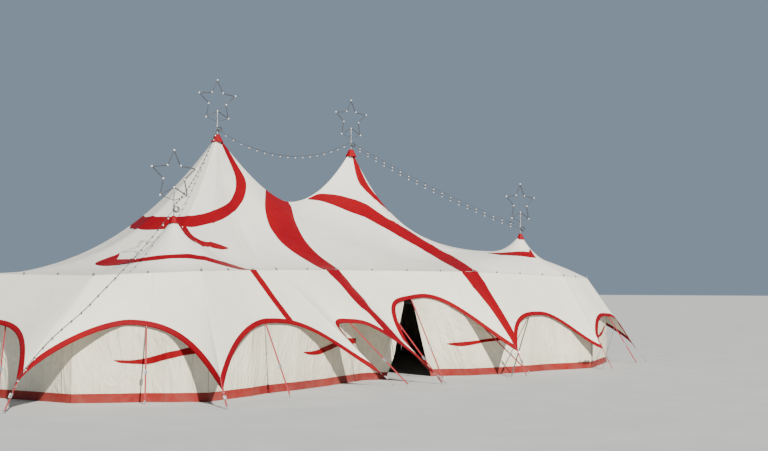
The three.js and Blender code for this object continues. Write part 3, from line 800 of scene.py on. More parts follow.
LOW_LEFT = [
    (-8.99, -1.27, -9.03, -1.33), (-8.75, -1.30, -9.08, -1.50), (-8.50, -1.50, -9.11, -1.89),
    (-8.37, -1.74, -9.06, -2.30), (-8.30, -2.23, -9.03, -2.54), (-8.50, -2.80, -9.10, -2.82),
    (-8.85, -3.30, -9.30, -3.22), (-9.15, -3.72, -9.54, -3.68), (-9.38, -4.10, -9.66, -4.15),
    (-9.435, -4.38, -9.675, -4.47), (-9.44, -4.64, -9.58, -4.82), (-9.31, -4.99, -9.42, -5.16),
    (-9.13, -5.24, -9.23, -5.40), (-8.92, -5.45, -9.00, -5.58), (-8.67, -5.60, -8.76, -5.74),
    (-8.38, -5.70, -8.50, -5.87), (-8.09, -5.80, -8.23, -6.00), (-7.73, -5.80, -7.91, -6.06),
    (-7.23, -5.63, -7.55, -6.08), (-6.80, -5.30, -7.33, -6.10), (-6.33, -4.92, -7.20, -6.13),
    (-6.14, -4.98, -7.09, -6.22), (-6.12, -5.18, -7.05, -6.42), (-6.22, -5.52, -7.04, -6.59),
    (-6.42, -6.00, -6.90, -6.555), (-6.42, -6.38, -6.78, -6.51),
    (-6.24, -6.65, -6.57, -6.76), (-6.09, -6.90, -6.39, -6.98), (-5.91, -7.11, -6.21, -7.19),
    (-5.74, -7.31, -6.04, -7.37), (-5.66, -7.42, -5.96, -7.46),
]
LOW_FORK = [
    (-8.99, -1.25, -9.00, -1.33), (-8.87, -1.12, -8.93, -1.50), (-8.70, -1.05, -8.72, -1.60),
    (-8.39, -1.03, -8.45, -1.62), (-8.15, -1.07, -8.21, -1.39), (-7.95, -1.04, -7.97, -1.08),
]
WIDE_MIDDLE = [
    (-1.08, -0.02, 0.03, -0.02), (-1.68, -0.75, -0.10, -0.35), (-2.00, -1.16, -0.46, -0.90),
    (-2.19, -1.47, -0.78, -1.40), (-2.32, -1.75, -1.02, -1.90), (-2.40, -2.00, -1.18, -2.30),
    (-2.42, -2.26, -1.28, -2.65), (-2.43, -2.58, -1.36, -3.07), (-2.39, -2.87, -1.42, -3.58),
    (-2.26, -3.48, -1.46, -4.06), (-2.20, -3.95, -1.52, -4.40), (-2.28, -4.58, -1.62, -4.70),
    (-2.50, -5.15, -1.80, -5.02), (-2.39, -5.47, -1.73, -5.40), (-2.31, -5.68, -1.73, -5.55),
    (-2.26, -6.08, -1.68, -5.85), (-2.15, -6.46, -1.67, -6.18), (-2.03, -6.62, -1.71, -6.47),
    (-1.96, -6.83, -1.65, -6.69), (-1.90, -7.15, -1.56, -7.00), (-1.83, -7.45, -1.53, -7.24),
    (-1.70, -7.65, -1.47, -7.60), (-1.56, -7.83, -1.37, -7.87), (-1.30, -8.03, -1.26, -8.02),
]
LONG_RIGHT = [
    (1.00, -0.04, 1.00, -0.08), (1.30, -0.05, 1.12, -0.15), (1.53, -0.09, 1.39, -0.31),
    (1.94, -0.29, 1.71, -0.55), (2.31, -0.47, 2.03, -0.78), (2.69, -0.64, 2.38, -0.98),
    (3.11, -0.78, 2.79, -1.12), (3.54, -0.90, 3.23, -1.23), (3.94, -1.06, 3.66, -1.36),
    (4.33, -1.24, 4.03, -1.55), (4.78, -1.36, 4.34, -1.80), (5.19, -1.53, 4.61, -2.10),
    (5.44, -1.85, 4.79, -2.48), (5.52, -2.34, 4.77, -3.05), (5.50, -2.90, 4.62, -3.50),
    (5.29, -3.65, 4.40, -3.94), (4.95, -4.25, 4.08, -4.50), (4.63, -4.78, 3.77, -5.04),
    (4.13, -5.73, 3.36, -5.82), (3.98, -6.235, 3.22, -6.12), (3.96, -6.37, 3.28, -6.38),
    (3.98, -6.59, 3.31, -6.60), (3.93, -6.87, 3.37, -6.79), (3.88, -7.50, 3.46, -7.28),
    (3.80, -8.03, 3.46, -7.97), (3.63, -8.37, 3.43, -8.42), (3.42, -8.55, 3.40, -8.55),
]
HOOK_RIGHT = [
    (3.45, 0.00, 3.33, -0.05), (3.56, -0.15, 3.31, -0.22), (3.64, -0.27, 3.31, -0.37),
    (3.71, -0.37, 3.37, -0.49), (3.81, -0.46, 3.56, -0.59), (3.95, -0.53, 3.76, -0.67),
    (4.12, -0.58, 3.95, -0.76), (4.31, -0.64, 4.19, -0.81), (4.52, -0.69, 4.43, -0.84),
    (4.74, -0.73, 4.65, -0.91), (4.98, -0.74, 4.97, -0.76),
]
SMALL_LEFT = [
    (-8.22, -4.74, -8.24, -4.90), (-8.00, -4.62, -8.20, -5.00), (-7.75, -4.35, -8.13, -5.12),
    (-7.45, -3.92, -8.02, -5.20), (-7.10, -3.38, -7.90, -5.22), (-6.75, -2.80, -7.77, -5.18),
    (-6.40, -2.22, -7.40, -4.95), (-6.10, -1.86, -7.08, -4.45), (-6.03, -2.05, -6.88, -4.15),
    (-6.10, -2.36, -6.68, -3.88), (-6.14, -2.62, -6.48, -3.64), (-6.13, -2.86, -6.31, -3.50),
    (-6.10, -3.08, -6.24, -3.62), (-5.99, -3.29, -6.07, -3.62), (-5.75, -3.28, -5.80, -3.55),
    (-5.50, -3.25, -5.50, -3.45), (-5.21, -3.25, -5.21, -3.30),
]
LOW_RIGHT = [
    (6.55, -4.50, 6.53, -4.54), (6.71, -4.55, 6.60, -4.75), (6.93, -4.66, 6.71, -5.01),
    (7.31, -4.78, 6.99, -5.12), (7.57, -4.98, 7.30, -5.24), (7.86, -5.17, 7.55, -5.34),
    (8.16, -5.27, 7.88, -5.49), (8.33, -5.18, 8.08, -5.54), (8.47, -5.10, 8.29, -5.57),
]
WIDE_AT_RIDGE = (WIDE_MIDDLE[0][0] + WIDE_MIDDLE[0][2]) / 2
BACK_WIDE = WIDE_MIDDLE[:11] + [(-2.25, -4.60, -1.66, -4.80), (-2.15, -5.60, -1.80, -5.60),
                                (-2.05, -6.40, -1.98, -6.40)]
BACK_RIGHT = HOOK_LEFT[:15] + [(-5.55, -2.35, -5.30, -2.05), (-5.90, -2.15, -5.85, -2.12)]
BACK_LEFT = [
    (-3.30, 0.08, -3.42, 0.06), (-3.24, 0.35, -3.50, 0.30), (-3.35, 0.70, -3.66, 0.60),
    (-3.65, 1.15, -3.98, 1.00), (-4.10, 1.70, -4.42, 1.52), (-4.65, 2.40, -4.86, 2.28),
    (-5.10, 3.10, -5.14, 3.08),
]


def laid_on(x, y, height):
    hit = cover.ray_cast(Vector((x, y, RAY_TOP)), Vector((0, 0, -1)))
    if hit[0] is None:
        hit = cover.find_nearest(Vector((x, y, height)))
    return np.array(hit[0] + upward(hit[1]) * STRIPE_LIFT), hit[0].z


def stripe(name, pairs, step=0.05, across=8, about=None):
    """A red stripe; with about, it is turned half round that place on the ridge."""
    edges = np.array(pairs)
    one, two = edges[:, :2], edges[:, 2:]
    if about is not None:
        one, two = (2 * about, 0) - one, (2 * about, 0) - two
    places = [np.zeros(1)]
    for k in range(len(pairs) - 1):
        long = max(np.linalg.norm(edge[k + 1] - edge[k]) for edge in (one, two))
        places.append(k + np.linspace(0, 1, max(2, int(long / step)) + 1)[1:])
    places = np.concatenate(places)
    a, b = along_curve(one, places), along_curve(two, places)
    points, height = [], 4.0
    for start, end in zip(a, b):
        for f in np.linspace(0, 1, across + 1):
            place, height = laid_on(*(start + (end - start) * f), height)
            points.append(place)
    uv = strip_uv(distances((a + b) / 2), STRIPE_WIDTH, across + 1)
    return piece(name, points, grid_faces(len(a), across + 1), [RED], uv)


carried = {
    "roof_front_left": [stripe("stripe_hook_left", HOOK_LEFT, 0.03),
                        stripe("stripe_low_left", LOW_LEFT, 0.04),
                        stripe("stripe_low_fork", LOW_FORK, 0.04),
                        stripe("stripe_small_left", SMALL_LEFT, 0.03)],
    "roof_front": [stripe("stripe_wide_middle", WIDE_MIDDLE, across=14),
                   stripe("stripe_long_right", LONG_RIGHT, across=10)],
    "roof_front_right": [stripe("stripe_hook_right", HOOK_RIGHT, 0.025),
                         stripe("stripe_low_right", LOW_RIGHT, 0.04)],
    "roof_back_right": [stripe("stripe_back_hook_right", BACK_RIGHT, 0.03, about=0.0)],
    "roof_back": [stripe("stripe_back_wide", BACK_WIDE, across=14, about=WIDE_AT_RIDGE)],
    "roof_back_left": [stripe("stripe_back_hook_left", BACK_LEFT, 0.03)],
}


# Red border along the scalloped edge, doubled round it like a hem
BORDER, BORDER_OFF, BORDER_TUCK = 0.155, 0.009, 0.004
BORDER_STEPS = 90
BORDER_LEAST = 0.04
# From the inner edge under the cloth, round its edge, and up over it
BORDER_WAY = ((1.0, -1), (0.5, -1), (0.0, -1), (0.0, 1), (0.33, 1), (0.66, 1), (1.0, 1))


def border_room(q, place):
    """The border's width. Near a tip it narrows to the fold line it shares."""
    room = BORDER
    for corner in (int(math.floor(q + 1e-9)), int(math.ceil(q - 1e-9))):
        root, tip = ROOT[corner % COUNT], TIP[corner % COUNT]
        line = unit(tip - root)
        off = (place - root) - line * (place - root).dot(line)
        room = min(room, BORDER_LEAST + np.linalg.norm(off) * 0.98)
    return room


def border(name, first, bays):
    points, faces, _ = skirt_grids[name]
    tree = tree_of(points, faces)
    fine = bay_columns(first, bays, BORDER_STEPS)
    edge = hem(fine)
    tangent = np.gradient(edge, axis=0)
    rows = []
    for q, p, t in zip(fine, edge, tangent):
        t = unit(t)
        up = eaves(q) - p
        inward = unit(up - t * up.dot(t))
        room = border_room(q, p)
        for f, side in BORDER_WAY:
            spot, normal, _, _ = tree.find_nearest(Vector(p + inward * room * f))
            place = np.array(spot + upward(normal) * (BORDER_OFF * side))
            rows.append(place - inward * BORDER_TUCK * (f == 0))
    uv = strip_uv(distances(edge), 0.3, len(BORDER_WAY))
    return piece("border_" + name, rows, grid_faces(len(fine), len(BORDER_WAY)), [RED],
                 uv)


def dress_skirt(name, first, bays):
    points, faces, uv = skirt_grids[name]
    made = piece("cloth_" + name, points.reshape(-1, 3), faces, [SKIRT_CREAM], uv)
    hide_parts(name)
    edging = border(name, first, bays)
    corners = np.arange(first, first + bays + 1) % COUNT
    width = max(distances(ROOT[corners])[-1], distances(TIP[corners])[-1])
    declare_cloth(made, width, [edging])


for name, span in SKIRTS.items():
    dress_skirt(name, *span)

# A stretched panel sags, so it is longer than the straight way to its peak. Here each panel's
# length along its pole heads is only passed to declare_cloth, which does not use it.
for name, made in panel_pieces.items():
    (x0, k0), (x1, k1) = PANELS[name]
    heads = ROOT[np.arange(k0, k1 + 1) % COUNT]
    declare_cloth(made, distances(heads)[-1],
                  carried.get(name, []))


# Webbing and seams over the panel joints, the ridge and the eaves
RIDGE_Y, RIDGE_END = -0.012, TALL_X - 0.1


def ribbon(name, lines, material, width, lift):
    spots, faces = [], []
    for line in lines:
        line = np.asarray(line, float)
        along = np.gradient(line, axis=0)
        across = np.stack([-along[:, 1], along[:, 0], np.zeros(len(line))], 1)
        across /= np.maximum(np.linalg.norm(across, axis=1)[:, None], 1e-9)
        faces.append(grid_faces(len(line), 3) + len(spots))
        for p, side in zip(line, across):
            for f in (-0.5, 0.0, 0.5):
                hit = cover.find_nearest(Vector(p + side * width * f))
                high = lift if f == 0 else lift * 0.45
                spots.append(np.array(hit[0] + upward(hit[1]) * high))
    uv = np.array([[k * 0.1, (k % 3) * 0.03] for k in range(len(spots))])
    return piece(name, spots, np.vstack(faces), [material], uv)


def panel_line(x, k):
    """The straight joint, in plan, from a tall mast to a pole head."""
    line = []
    for f in np.linspace(0.02, 1, 70):
        px, py = x + (ROOT[k % COUNT][0] - x) * f, ROOT[k % COUNT][1] * f
        line.append((px, py, roof_height(px, py)))
    return line


joint_lines = [panel_line(*joint) for joint in JOINTS[:-1]]
ridge_line = [(x, RIDGE_Y, roof_height(x, RIDGE_Y))
              for x in np.linspace(-RIDGE_END, RIDGE_END, 90)]
fold_lines = [[skirt(k + 1e-6, v) for v in np.linspace(0.02, 0.985, 40)] for k in range(COUNT)]
edge_line = eaves(np.linspace(0, COUNT, 400))
ribbon("lacing_flaps", joint_lines, SKIRT_CREAM, width=0.07, lift=0.004)
ribbon("ridge_flap", [ridge_line], SHADED_ROOF_CREAM, width=0.10, lift=0.005)
ribbon("eaves_webbing", [edge_line], CREAM_WEB, width=0.045, lift=0.005)
ribbon("fold_webbing", fold_lines, SKIRT_CREAM, width=0.05, lift=0.003)


# Walls: hanging sheets with folds, a red band at the ground, and a gap for the door.
# Each has its two ends, in bays, and at the door how far its top leans from its foot.
DOOR_BASE, DOOR_TOP = (0.14, 0.60), (0.33, 0.41)
WALLS = {
    "wall_front_left_end": (0.003, 0.997),
    "wall_front_left": (1.003, 3 + DOOR_BASE[0], 0.0, DOOR_TOP[0] - DOOR_BASE[0]),
    "wall_front_right": (3 + DOOR_BASE[1], 4.997, DOOR_TOP[1] - DOOR_BASE[1]),
    "wall_front_right_end": (5.003, 5.997),
    "wall_right_end": (6.003, 7.997),
    "wall_back_right_end": (8.003, 8.997),
    "wall_back_right": (9.003, 10.497),
    "wall_back_left": (10.503, 11.997),
    "wall_back_left_end": (12.003, 12.997),
    "wall_left_end": (13.003, 14.997),
}
WALL_STEP, WALL_SET_BACK, WALL_TUCK = 0.045, 0.012, 0.035
FOLD_DEPTH, GATHER, GATHER_SPREAD = 0.014, 2.6, 0.10
HEM_BAND, BAND_SHARE = 0.25, 0.084
SWOOSH_STEPS, SWOOSH_ACROSS, RAY_BACK = 200, 9, 0.4
# The wall's direction is taken between two places this far to either side, in bays
BESIDE = 0.002
# Rows up the wall: share of its height, and the height where it is a fixed one
WALL_ROWS = [(0.004 / 3, 0.003), (BAND_SHARE / 2, HEM_BAND / 2), (BAND_SHARE, HEM_BAND)]
WALL_ROWS += [(f, None) for f in BAND_SHARE + (1 - BAND_SHARE) * np.linspace(0, 1, 13)[1:]]


def wall_place(q):
    """Where the wall meets the skirt: over the line between its places at two supports."""
    i, j, _ = bay_of(q)
    a = mix(ROOT[i], TIP[i], WALL_SHARE[i])
    b = mix(ROOT[j], TIP[j], WALL_SHARE[j])
    e, h = eaves(q), hem(q)
    d, w = h - e, b - a
    t = ((a[..., 0] - e[..., 0]) * w[..., 1] - (a[..., 1] - e[..., 1]) * w[..., 0]) / (
        d[..., 0] * w[..., 1] - d[..., 1] * w[..., 0])
    return mix(e, h, np.clip(t, 0.1, 0.93))


def wall_out(q):
    """The wall's level way out, at a place counted in bays."""
    t = (wall_place(q + BESIDE) - wall_place(q - BESIDE))[..., :2]
    t = t / np.linalg.norm(t, axis=-1)[..., None]
    return np.stack([t[..., 1], -t[..., 0], np.zeros(t.shape[:-1])], -1)


def wall_folds(u):
    """How far the cloth stands out, u metres along the wall."""
    wander = 1.3 * np.sin(u / 2.1) + 0.8 * np.sin(u / 0.77)
    return (0.50 * np.sin(2 * math.pi * u / 0.86 + wander)
            + 0.32 * np.sin(2 * math.pi * u / 0.47 + 1.7 * np.sin(u / 1.3))
            + 0.18 * np.sin(2 * math.pi * u / 0.21 + wander))


def wall(name, start, end, left=0.0, right=0.0):
    rough = np.linspace(start, end, 600)
    along = distances(wall_place(rough)[:, :2])
    count = int(along[-1] / WALL_STEP)
    even = np.linspace(0, along[-1], count)
    foot = np.interp(even, along, rough)
    u = even + start * 7.3
    share = (foot - start) / (end - start)
    # Folds are deep where the cloth is gathered at the door and free at the ground.
    gather = 1 + GATHER * np.exp(-share / GATHER_SPREAD) * (left != 0)
    gather += GATHER * np.exp(-(1 - share) / GATHER_SPREAD) * (right != 0)
    rows = []
    for f, height in WALL_ROWS:
        q = foot + f * (left * (1 - share) + right * share)
        place = wall_place(q)
        deep = FOLD_DEPTH * gather * min(1, (1 - f) / 0.12) * (0.75 + 0.35 * math.sin(f * 2.6))
        shift = deep * wall_folds(u) - WALL_SET_BACK * (1 + (f > 0.97))
        row = place + wall_out(q) * shift[:, None]
        row[:, 2] = (place[:, 2] * f if height is None else height) - WALL_TUCK * (f > 0.99)
        rows.append(row)
    grid = np.array(rows)
    faces = grid_faces(len(rows), count)
    indices = np.where(np.arange(len(faces)) < 2 * (count - 1), 1, 0)
    uv = np.stack([np.tile(u, len(rows)), grid[..., 2].ravel()], 1)
    made = piece("cloth_" + name, grid.reshape(-1, 3), faces, [WALL_CREAM, WALL_RED],
                 uv, indices)
    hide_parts(name)
    return made, grid, faces


def swoosh(name, wall_grid, faces, upper, lower):
    """A pointed red stripe on a wall; its edges are (bay place, height) pairs."""
    tree = tree_of(wall_grid, faces)
    points = []
    for a, b in zip(spline(upper, SWOOSH_STEPS), spline(lower, SWOOSH_STEPS)):
        for f in np.linspace(0, 1, SWOOSH_ACROSS):
            q, z = a + (b - a) * f
            out = wall_out(q)
            spot = Vector((*wall_place(q)[:2], z))
            hit = tree.ray_cast(spot + Vector(out) * RAY_BACK, -Vector(out))
            place = spot if hit[0] is None else hit[0]
            points.append(np.array(place) + out * STRIPE_LIFT)
    uv = strip_uv(np.linspace(0, 4, SWOOSH_STEPS), 0.2, SWOOSH_ACROSS)
    strip = grid_faces(SWOOSH_STEPS, SWOOSH_ACROSS)
    return piece(name, points, strip, [WALL_RED], uv)


walls = {name: wall(name, *span) for name, span in WALLS.items()}
SWOOSHES = {
    "swoosh_1": ("wall_front_left_end",
                 [(0.343, 1.15), (0.382, 1.15), (0.433, 1.14), (0.475, 1.16), (0.524, 1.20),
                  (0.586, 1.28), (0.644, 1.36), (0.698, 1.40), (0.810, 1.48), (0.930, 1.53)],
                 [(0.343, 1.14), (0.383, 1.08), (0.433, 1.05), (0.475, 1.04), (0.524, 1.03),
                  (0.569, 1.07), (0.626, 1.15), (0.691, 1.21), (0.751, 1.26), (0.930, 1.34)]),
    "swoosh_2": ("wall_front_left",
                 [(1.753, 1.14), (1.836, 1.14), (1.940, 1.19), (2.058, 1.28), (2.219, 1.37),
                  (2.450, 1.44), (2.626, 1.47), (2.893, 1.43)],
                 [(1.753, 1.11), (1.813, 1.04), (1.898, 1.02), (1.970, 1.04), (2.058, 1.11),
                  (2.220, 1.19), (2.626, 1.27), (2.893, 1.26)]),
    "swoosh_3": ("wall_front_right",
                 [(3.719, 1.14), (3.784, 1.18), (3.850, 1.21), (3.905, 1.24), (3.962, 1.28),
                  (4.041, 1.31), (4.200, 1.35)],
                 [(3.718, 1.12), (3.757, 1.07), (3.802, 1.04), (3.850, 1.07), (3.905, 1.12),
                  (3.959, 1.17), (4.098, 1.22), (4.200, 1.26)]),
    "swoosh_4": ("wall_front_right_end",
                 [(5.30, 1.16), (5.49, 1.25), (5.70, 1.42), (5.85, 1.6)],
                 [(5.30, 1.12), (5.487, 1.12), (5.70, 1.26), (5.85, 1.55)]),
}
marks = {}
for name, (carrier, upper, lower) in SWOOSHES.items():
    marks[carrier] = [swoosh(name, *walls[carrier][1:], upper, lower)]
for name, (made, grid, faces) in walls.items():
    start, end = WALLS[name][:2]
    declare_cloth(made, distances(grid[6])[-1],
                  marks.get(name, []))


# Caps: pleated covers, drawn in under the crown, that follow the roof below
CAP_SIDES, CAP_PLEATS, PLEAT_DEPTH, CAP_CLEAR = 72, 12, 0.035, 0.010
CAP_DRAWN = 0.35
# Share of the cap's radius, and height for a cap that is CAP_DRAWN high
CAP_PROFILE = [(0.20, 0.040), (0.30, 0.036), (0.42, 0.020), (0.52, -0.015), (0.62, -0.07),
               (0.72, -0.13), (0.82, -0.18), (0.92, -0.225), (1.0, -0.262), (1.03, -0.275),
               (1.03, -0.30), (1.0, -0.31)]


def cap(name, mast):
    points = []
    for share, z in CAP_PROFILE:
        for a in turns(CAP_SIDES):
            pleat = PLEAT_DEPTH * share ** 3 * math.cos(CAP_PLEATS * a)
            out = mast.cap * share * (1 + pleat + 0.01 * math.cos(5 * a + 1))
            x, y = mast.x + out * math.cos(a), mast.y + out * math.sin(a)
            height = mast.peak + z * mast.cap_height / CAP_DRAWN
            points.append((x, y, max(height, roof_height(x, y) + CAP_CLEAR)))
    faces = []
    for ring in range(0, (len(CAP_PROFILE) - 1) * CAP_SIDES, CAP_SIDES):
        for k in range(CAP_SIDES):
            j = (k + 1) % CAP_SIDES
            faces.append((ring + k, ring + CAP_SIDES + k, ring + CAP_SIDES + j, ring + j))
    uv = [(k * 0.02, r * 0.04) for r in range(len(CAP_PROFILE)) for k in range(CAP_SIDES)]
    made = piece("cloth_cap_" + name, points, faces, [CAP_RED], uv)
    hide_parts("cap_" + name)
    declare_cloth(made, 2 * math.pi * mast.cap * 1.05)


for name, mast in MASTS.items():
    cap(name, mast)


# Masts with their stars
COLLAR_PROFILE = [(0.030, -0.03), (0.040, -0.024), (0.040, -0.008), (0.034, -0.003),
                  (0.034, 0.003), (0.040, 0.008), (0.040, 0.024), (0.030, 0.03)]
LAMP_PROFILE = [(0.016, -0.02), (0.018, 0.0), (0.018, 0.022), (0.012, 0.028)]
BOLT_PROFILE = [(0.014, 0.02), (0.014, 0.032), (0.008, 0.034), (0.008, 0.044)]
# Radii of the tubes and cables, and of the coil round the rod
ROD, BRACE, FEED, WIRING, COIL = 0.0182, 0.010, 0.006, 0.008, 0.024


def star_corners(mast):
    """The ten corners, from the top point round; the odd ones are the inner ones."""
    corners = []
    for k in range(10):
        out = STAR_RADIUS * (STAR_INNER if k % 2 else 1)
        a = math.pi / 2 + k * math.pi / 5
        side = out * math.cos(a)
        corners.append(np.array([mast.x + side * math.cos(STAR_TURN),
                                 mast.y - side * math.sin(STAR_TURN),
                                 mast.peak + STAR_ABOVE + out * math.sin(a)]))
    return corners


def mast_pole(parts, here, radius, top):
    """The tube with a joint at half its height, and its plate with bolts and gussets."""
    half = top / 2
    parts.lathe([(radius * 2, 0.0), (radius * 2, 0.016), (radius * 1.94, 0.02),
                 (radius * 1.12, 0.02), (radius * 1.05, 0.034), (radius, 0.042),
                 (radius, half - 0.08), (radius * 1.12, half - 0.07), (radius * 1.12, half + 0.07),
                 (radius, half + 0.08), (radius, top - 0.03), (radius * 0.8, top)], here, 32)
    for a in turns(6):
        off = np.array([math.cos(a), math.sin(a), 0])
        parts.lathe(BOLT_PROFILE, here + off * radius * 1.6, 6)
        parts.box(here + off * radius * 1.35 + UP * 0.08, UP, off, (0.12, radius * 0.7, 0.008))


def star(parts, mast, here, corners):
    """The star's tubes, with two braces, and the cable that runs up its rod and round it."""
    sides = list(zip(corners, corners[1:] + corners[:1]))
    for a, b in sides:
        parts.tube([a, a + (b - a) * 0.5, b], STAR_TUBE, 10, 1)
    climb = corners[5][2] - mast.peak - 0.05
    parts.tube([(mast.x + COIL * math.cos(f * 16), mast.y + COIL * math.sin(f * 16),
                 mast.peak + 0.06 + f * climb) for f in np.linspace(0, 1, 60)], FEED, 6, 2)
    behind = np.array([math.sin(STAR_TURN), math.cos(STAR_TURN), 0])
    for a, b in sides:
        parts.tube([a + (b - a) * f + behind * (0.018 + 0.006 * math.sin(f * 9))
                    for f in np.linspace(0, 1, 7)], WIRING, 6, 2)
    for k in (4, 6):
        parts.tube([corners[k], here + UP * (corners[k][2] - 0.16)], BRACE, 8, 1)


def spare_cable(parts, here, peak):
    """Loops of spare cable that hang beside the collars."""
    for k in range(4):
        size, twist = 0.070 + 0.008 * k, 0.12 * k
        middle = here + (0.03 + 0.012 * k, -0.065, peak + 0.31 - size)
        parts.tube([middle + size * np.array([math.cos(a) * math.cos(twist),
                                              -math.cos(a) * math.sin(twist), math.sin(a)])
                    for a in turns(24)], WIRING, 6, 2, True)


def dress_mast(name, mast):
    here = np.array([mast.x, mast.y, 0.0])
    top = mast.peak - 0.04
    corners = star_corners(mast)
    parts = Parts()
    mast_pole(parts, here, mast.shaft, top)
    foot = corners[5]
    parts.tube([here + UP * (top - 0.06), here + UP * (top + foot[2]) / 2, foot], ROD, 12)
    for above in (COLLAR_LOW, COLLAR_HIGH):
        parts.lathe(COLLAR_PROFILE, here + UP * (mast.peak + above), 20)
    star(parts, mast, here, corners)
    spare_cable(parts, here, mast.peak)
    made = parts.made("mast_dressed_" + name, [STEEL, WIRE, CABLE], "steel")
    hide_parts("mast_" + name)
    bulbs = Parts()
    for corner in corners:
        out = unit(corner - here - UP * (mast.peak + STAR_ABOVE))
        bulbs.lathe(LAMP_PROFILE, corner, 12, 1, out)
        bulbs.ball(corner + out * 0.012, 0.031, 14, 10)
    bulbs.made("star_bulbs_" + name, [BULB, SOCKET], "cable", 50)


for name, mast in MASTS.items():
    dress_mast(name, mast)


# Side poles keep their CAD form and get a worn galvanised finish
for k in range(COUNT):
    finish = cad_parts[f"side_pole_{k + 1}"].data.materials
    finish.clear()
    finish.append(STEEL)


# Pins at the pole heads and along the eaves, where the poles come through
PIN_STEP = 1.25
WASHER_PROFILE = [(0.026, 0.0), (0.030, 0.012), (0.022, 0.026)]
pins = Parts()
for k in range(COUNT):
    gap = np.linalg.norm(ROOT[(k + 1) % COUNT] - ROOT[k])
    for s in np.linspace(0, 1, max(2, int(gap / PIN_STEP)) + 1)[:-1]:
        place = eaves(k + s) + UP * 0.004
        big = 1.0 if s == 0 else 0.75
        pins.lathe([(0.050 * big, 0.0), (0.052 * big, 0.006), (0.040 * big, 0.014), (0.018, 0.018),
                    (0.014, 0.06 * big), (0.010, 0.09 * big)], place, 12)
        pins.lathe(WASHER_PROFILE, place + UP * 0.02, 12, 1)
pins.made("eaves_pins", [STEEL, SOCKET], "steel")


# Straps, each with a ratchet and a stake. Steel is the second of their materials.
RING, RING_WIRE = 0.032, 0.006
WEB_WIDTH, STRAP_WIDTH, ARCH_STRAP_WIDTH = 0.05, 0.045, 0.042
RATCHET_ROOM = 0.45


def stake(parts, foot, lean, high=0.09):
    axis = Vector((lean[0] * 0.25, lean[1] * 0.25, 1)).normalized()
    parts.lathe([(0.015, 0.0), (0.016, 0.01), (0.016, high - 0.02), (0.026, high - 0.018),
                 (0.028, high - 0.008), (0.020, high)], foot, 14, 1, axis)


def ratchet(parts, place, along, across):
    parts.box(place, along, across, (0.16, 0.062, 0.012), 1)
    deep = np.cross(along, across)
    for side in (-1, 1):
        parts.box(place + across * 0.036 * side + deep * 0.012, along, deep,
                  (0.13, 0.042, 0.006), 1)
    for ahead, half, high, radius, sides in ((0, 0.046, 0.018, 0.010, 10),
                                             (0.06, 0.04, 0.03, 0.008, 8)):
        middle = place + along * ahead + deep * high
        parts.tube([middle - across * half, middle + across * half], radius, sides, 1)


def tip_strap(parts, k):
    """A tip's webbing, its ring, and the strap with a ratchet that holds it to the stake."""
    out = np.array([*outward(k), 0.0])
    across = np.array([-out[1], out[0], 0.0])
    hold = strap_hook(k)
    start = TIP[k] - UP * 0.012
    way = unit(hold - start)
    ring = start + way * 0.03
    parts.tube([ring + (way * math.cos(a) + across * math.sin(a)) * RING for a in turns(16)],
               RING_WIRE, 8, 1, True)
    up = unit(ROOT[k] - TIP[k])
    parts.strap([TIP[k] + up * 0.42 + UP * 0.012, TIP[k] + up * 0.2 + UP * 0.014,
                 TIP[k] + UP * 0.010, ring], WEB_WIDTH, 0.005, across)
    parts.strap([ring + way * 0.02, (start + hold) / 2, hold], STRAP_WIDTH, 0.004, across)
    if np.linalg.norm(hold - start) > RATCHET_ROOM:
        deep = np.cross(way, across)
        ratchet(parts, start + (hold - start) * 0.42 + deep * 0.008, way, across)
    stake(parts, hold - UP * HOOK_HEIGHT, out)


# Straps inside the arches, taut from the skirt's underside to stakes in the ground.
# Each is (bay place, share down the skirt), the foot in plan, and whether it is dark.
ARCH_STRAPS = [
    ((0.520, 0.97), (-11.25, -7.86), False), ((1.487, 0.95), (-7.20, -8.98), False),
    ((2.477, 0.97), (-2.14, -8.66), False), ((3.391, 0.97), (0.60, -7.60), False),
    ((3.107, 0.97), (-0.81, -8.88), False), ((3.886, 0.97), (4.68, -8.02), False),
    ((4.347, 0.97), (2.78, -8.82), True), ((5.865, 0.97), (8.34, -8.67), True),
    ((5.672, 0.97), (12.27, -7.54), False),
]
REAR_STRAP_AT = 0.62
for k in range(FRONT_BAYS, COUNT):
    q = k + REAR_STRAP_AT
    ARCH_STRAPS.append(((q, 0.95), hem(q)[:2] + outward(k) * 0.15, False))


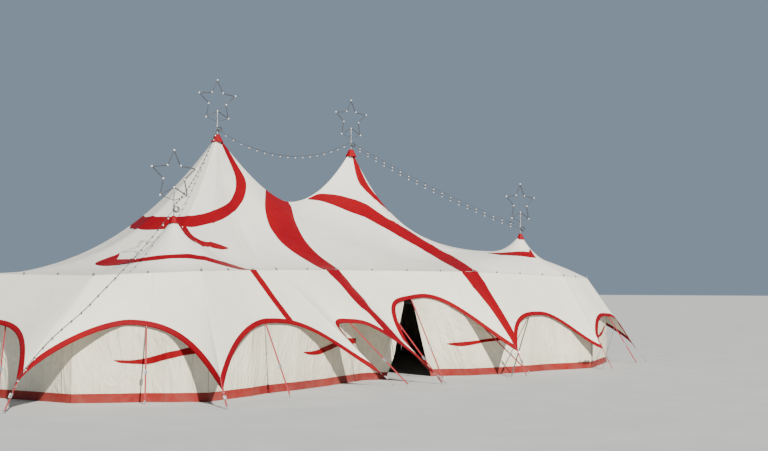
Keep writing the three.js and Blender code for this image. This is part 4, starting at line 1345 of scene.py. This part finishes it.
def arch_strap(parts, q, v, foot, dark):
    start = skirt(q, v) - UP * 0.02
    end = np.array([*foot, 0.07])
    way = unit(end - start)
    across = unit(np.cross(way, (0.69, 0.72, 0))) if abs(way[2]) > 0.5 else UP
    parts.strap([start, (start + end) / 2, end], ARCH_STRAP_WIDTH, 0.004, across,
                2 if dark else 0)
    ratchet(parts, start + (end - start) * 0.62, way, across)
    parts.tube([start + UP * 0.02, start, start + way * 0.05], 0.010, 8, 1)
    stake(parts, (*foot, 0.0), outward(int(q)), 0.11)


tips = Parts()
for k in range(COUNT):
    tip_strap(tips, k)
tips.made("tip_straps", [RED_WEB, STEEL], "steel")
arch_straps = Parts()
for (q, v), foot, dark in ARCH_STRAPS:
    arch_strap(arch_straps, q, v, foot, dark)
arch_straps.made("arch_straps", [RED_WEB, STEEL, DARK_WEB], "steel")


# Stage and light
FLOOR_HALF = 400.0
SUN_FROM = (-0.26, -0.80, 0.56)


def stage():
    mesh = bpy.data.meshes.new("floor")
    corners = ((-1, -1), (1, -1), (1, 1), (-1, 1))
    mesh.from_pydata([(x * FLOOR_HALF, y * FLOOR_HALF, 0) for x, y in corners], [], [(0, 1, 2, 3)])
    material, tree, principled = shader("floor_pale", 0.9)
    tone = ramp(tree, noise(tree, surface(tree), 0.6, 5), (0.44, 0.44, 0.435), (0.49, 0.49, 0.485))
    paint(tree, principled, tone)
    mesh.materials.append(material)
    floor = bpy.data.objects.new("floor", mesh)
    bpy.context.collection.objects.link(floor)
    sun = bpy.data.lights.new("key", "SUN")
    sun.energy = 8.2
    sun.angle = math.radians(1.6)
    sun.color = (1.0, 0.965, 0.87)
    key = bpy.data.objects.new("key", sun)
    key.rotation_euler = Vector(SUN_FROM).to_track_quat("Z", "Y").to_euler()
    bpy.context.collection.objects.link(key)
    world = bpy.data.worlds.new("sky")
    world.use_nodes = True
    background = world.node_tree.nodes["Background"]
    background.inputs["Color"].default_value = (0.60, 0.78, 1.0, 1)
    background.inputs["Strength"].default_value = 0.36
    bpy.context.scene.world = world


stage()
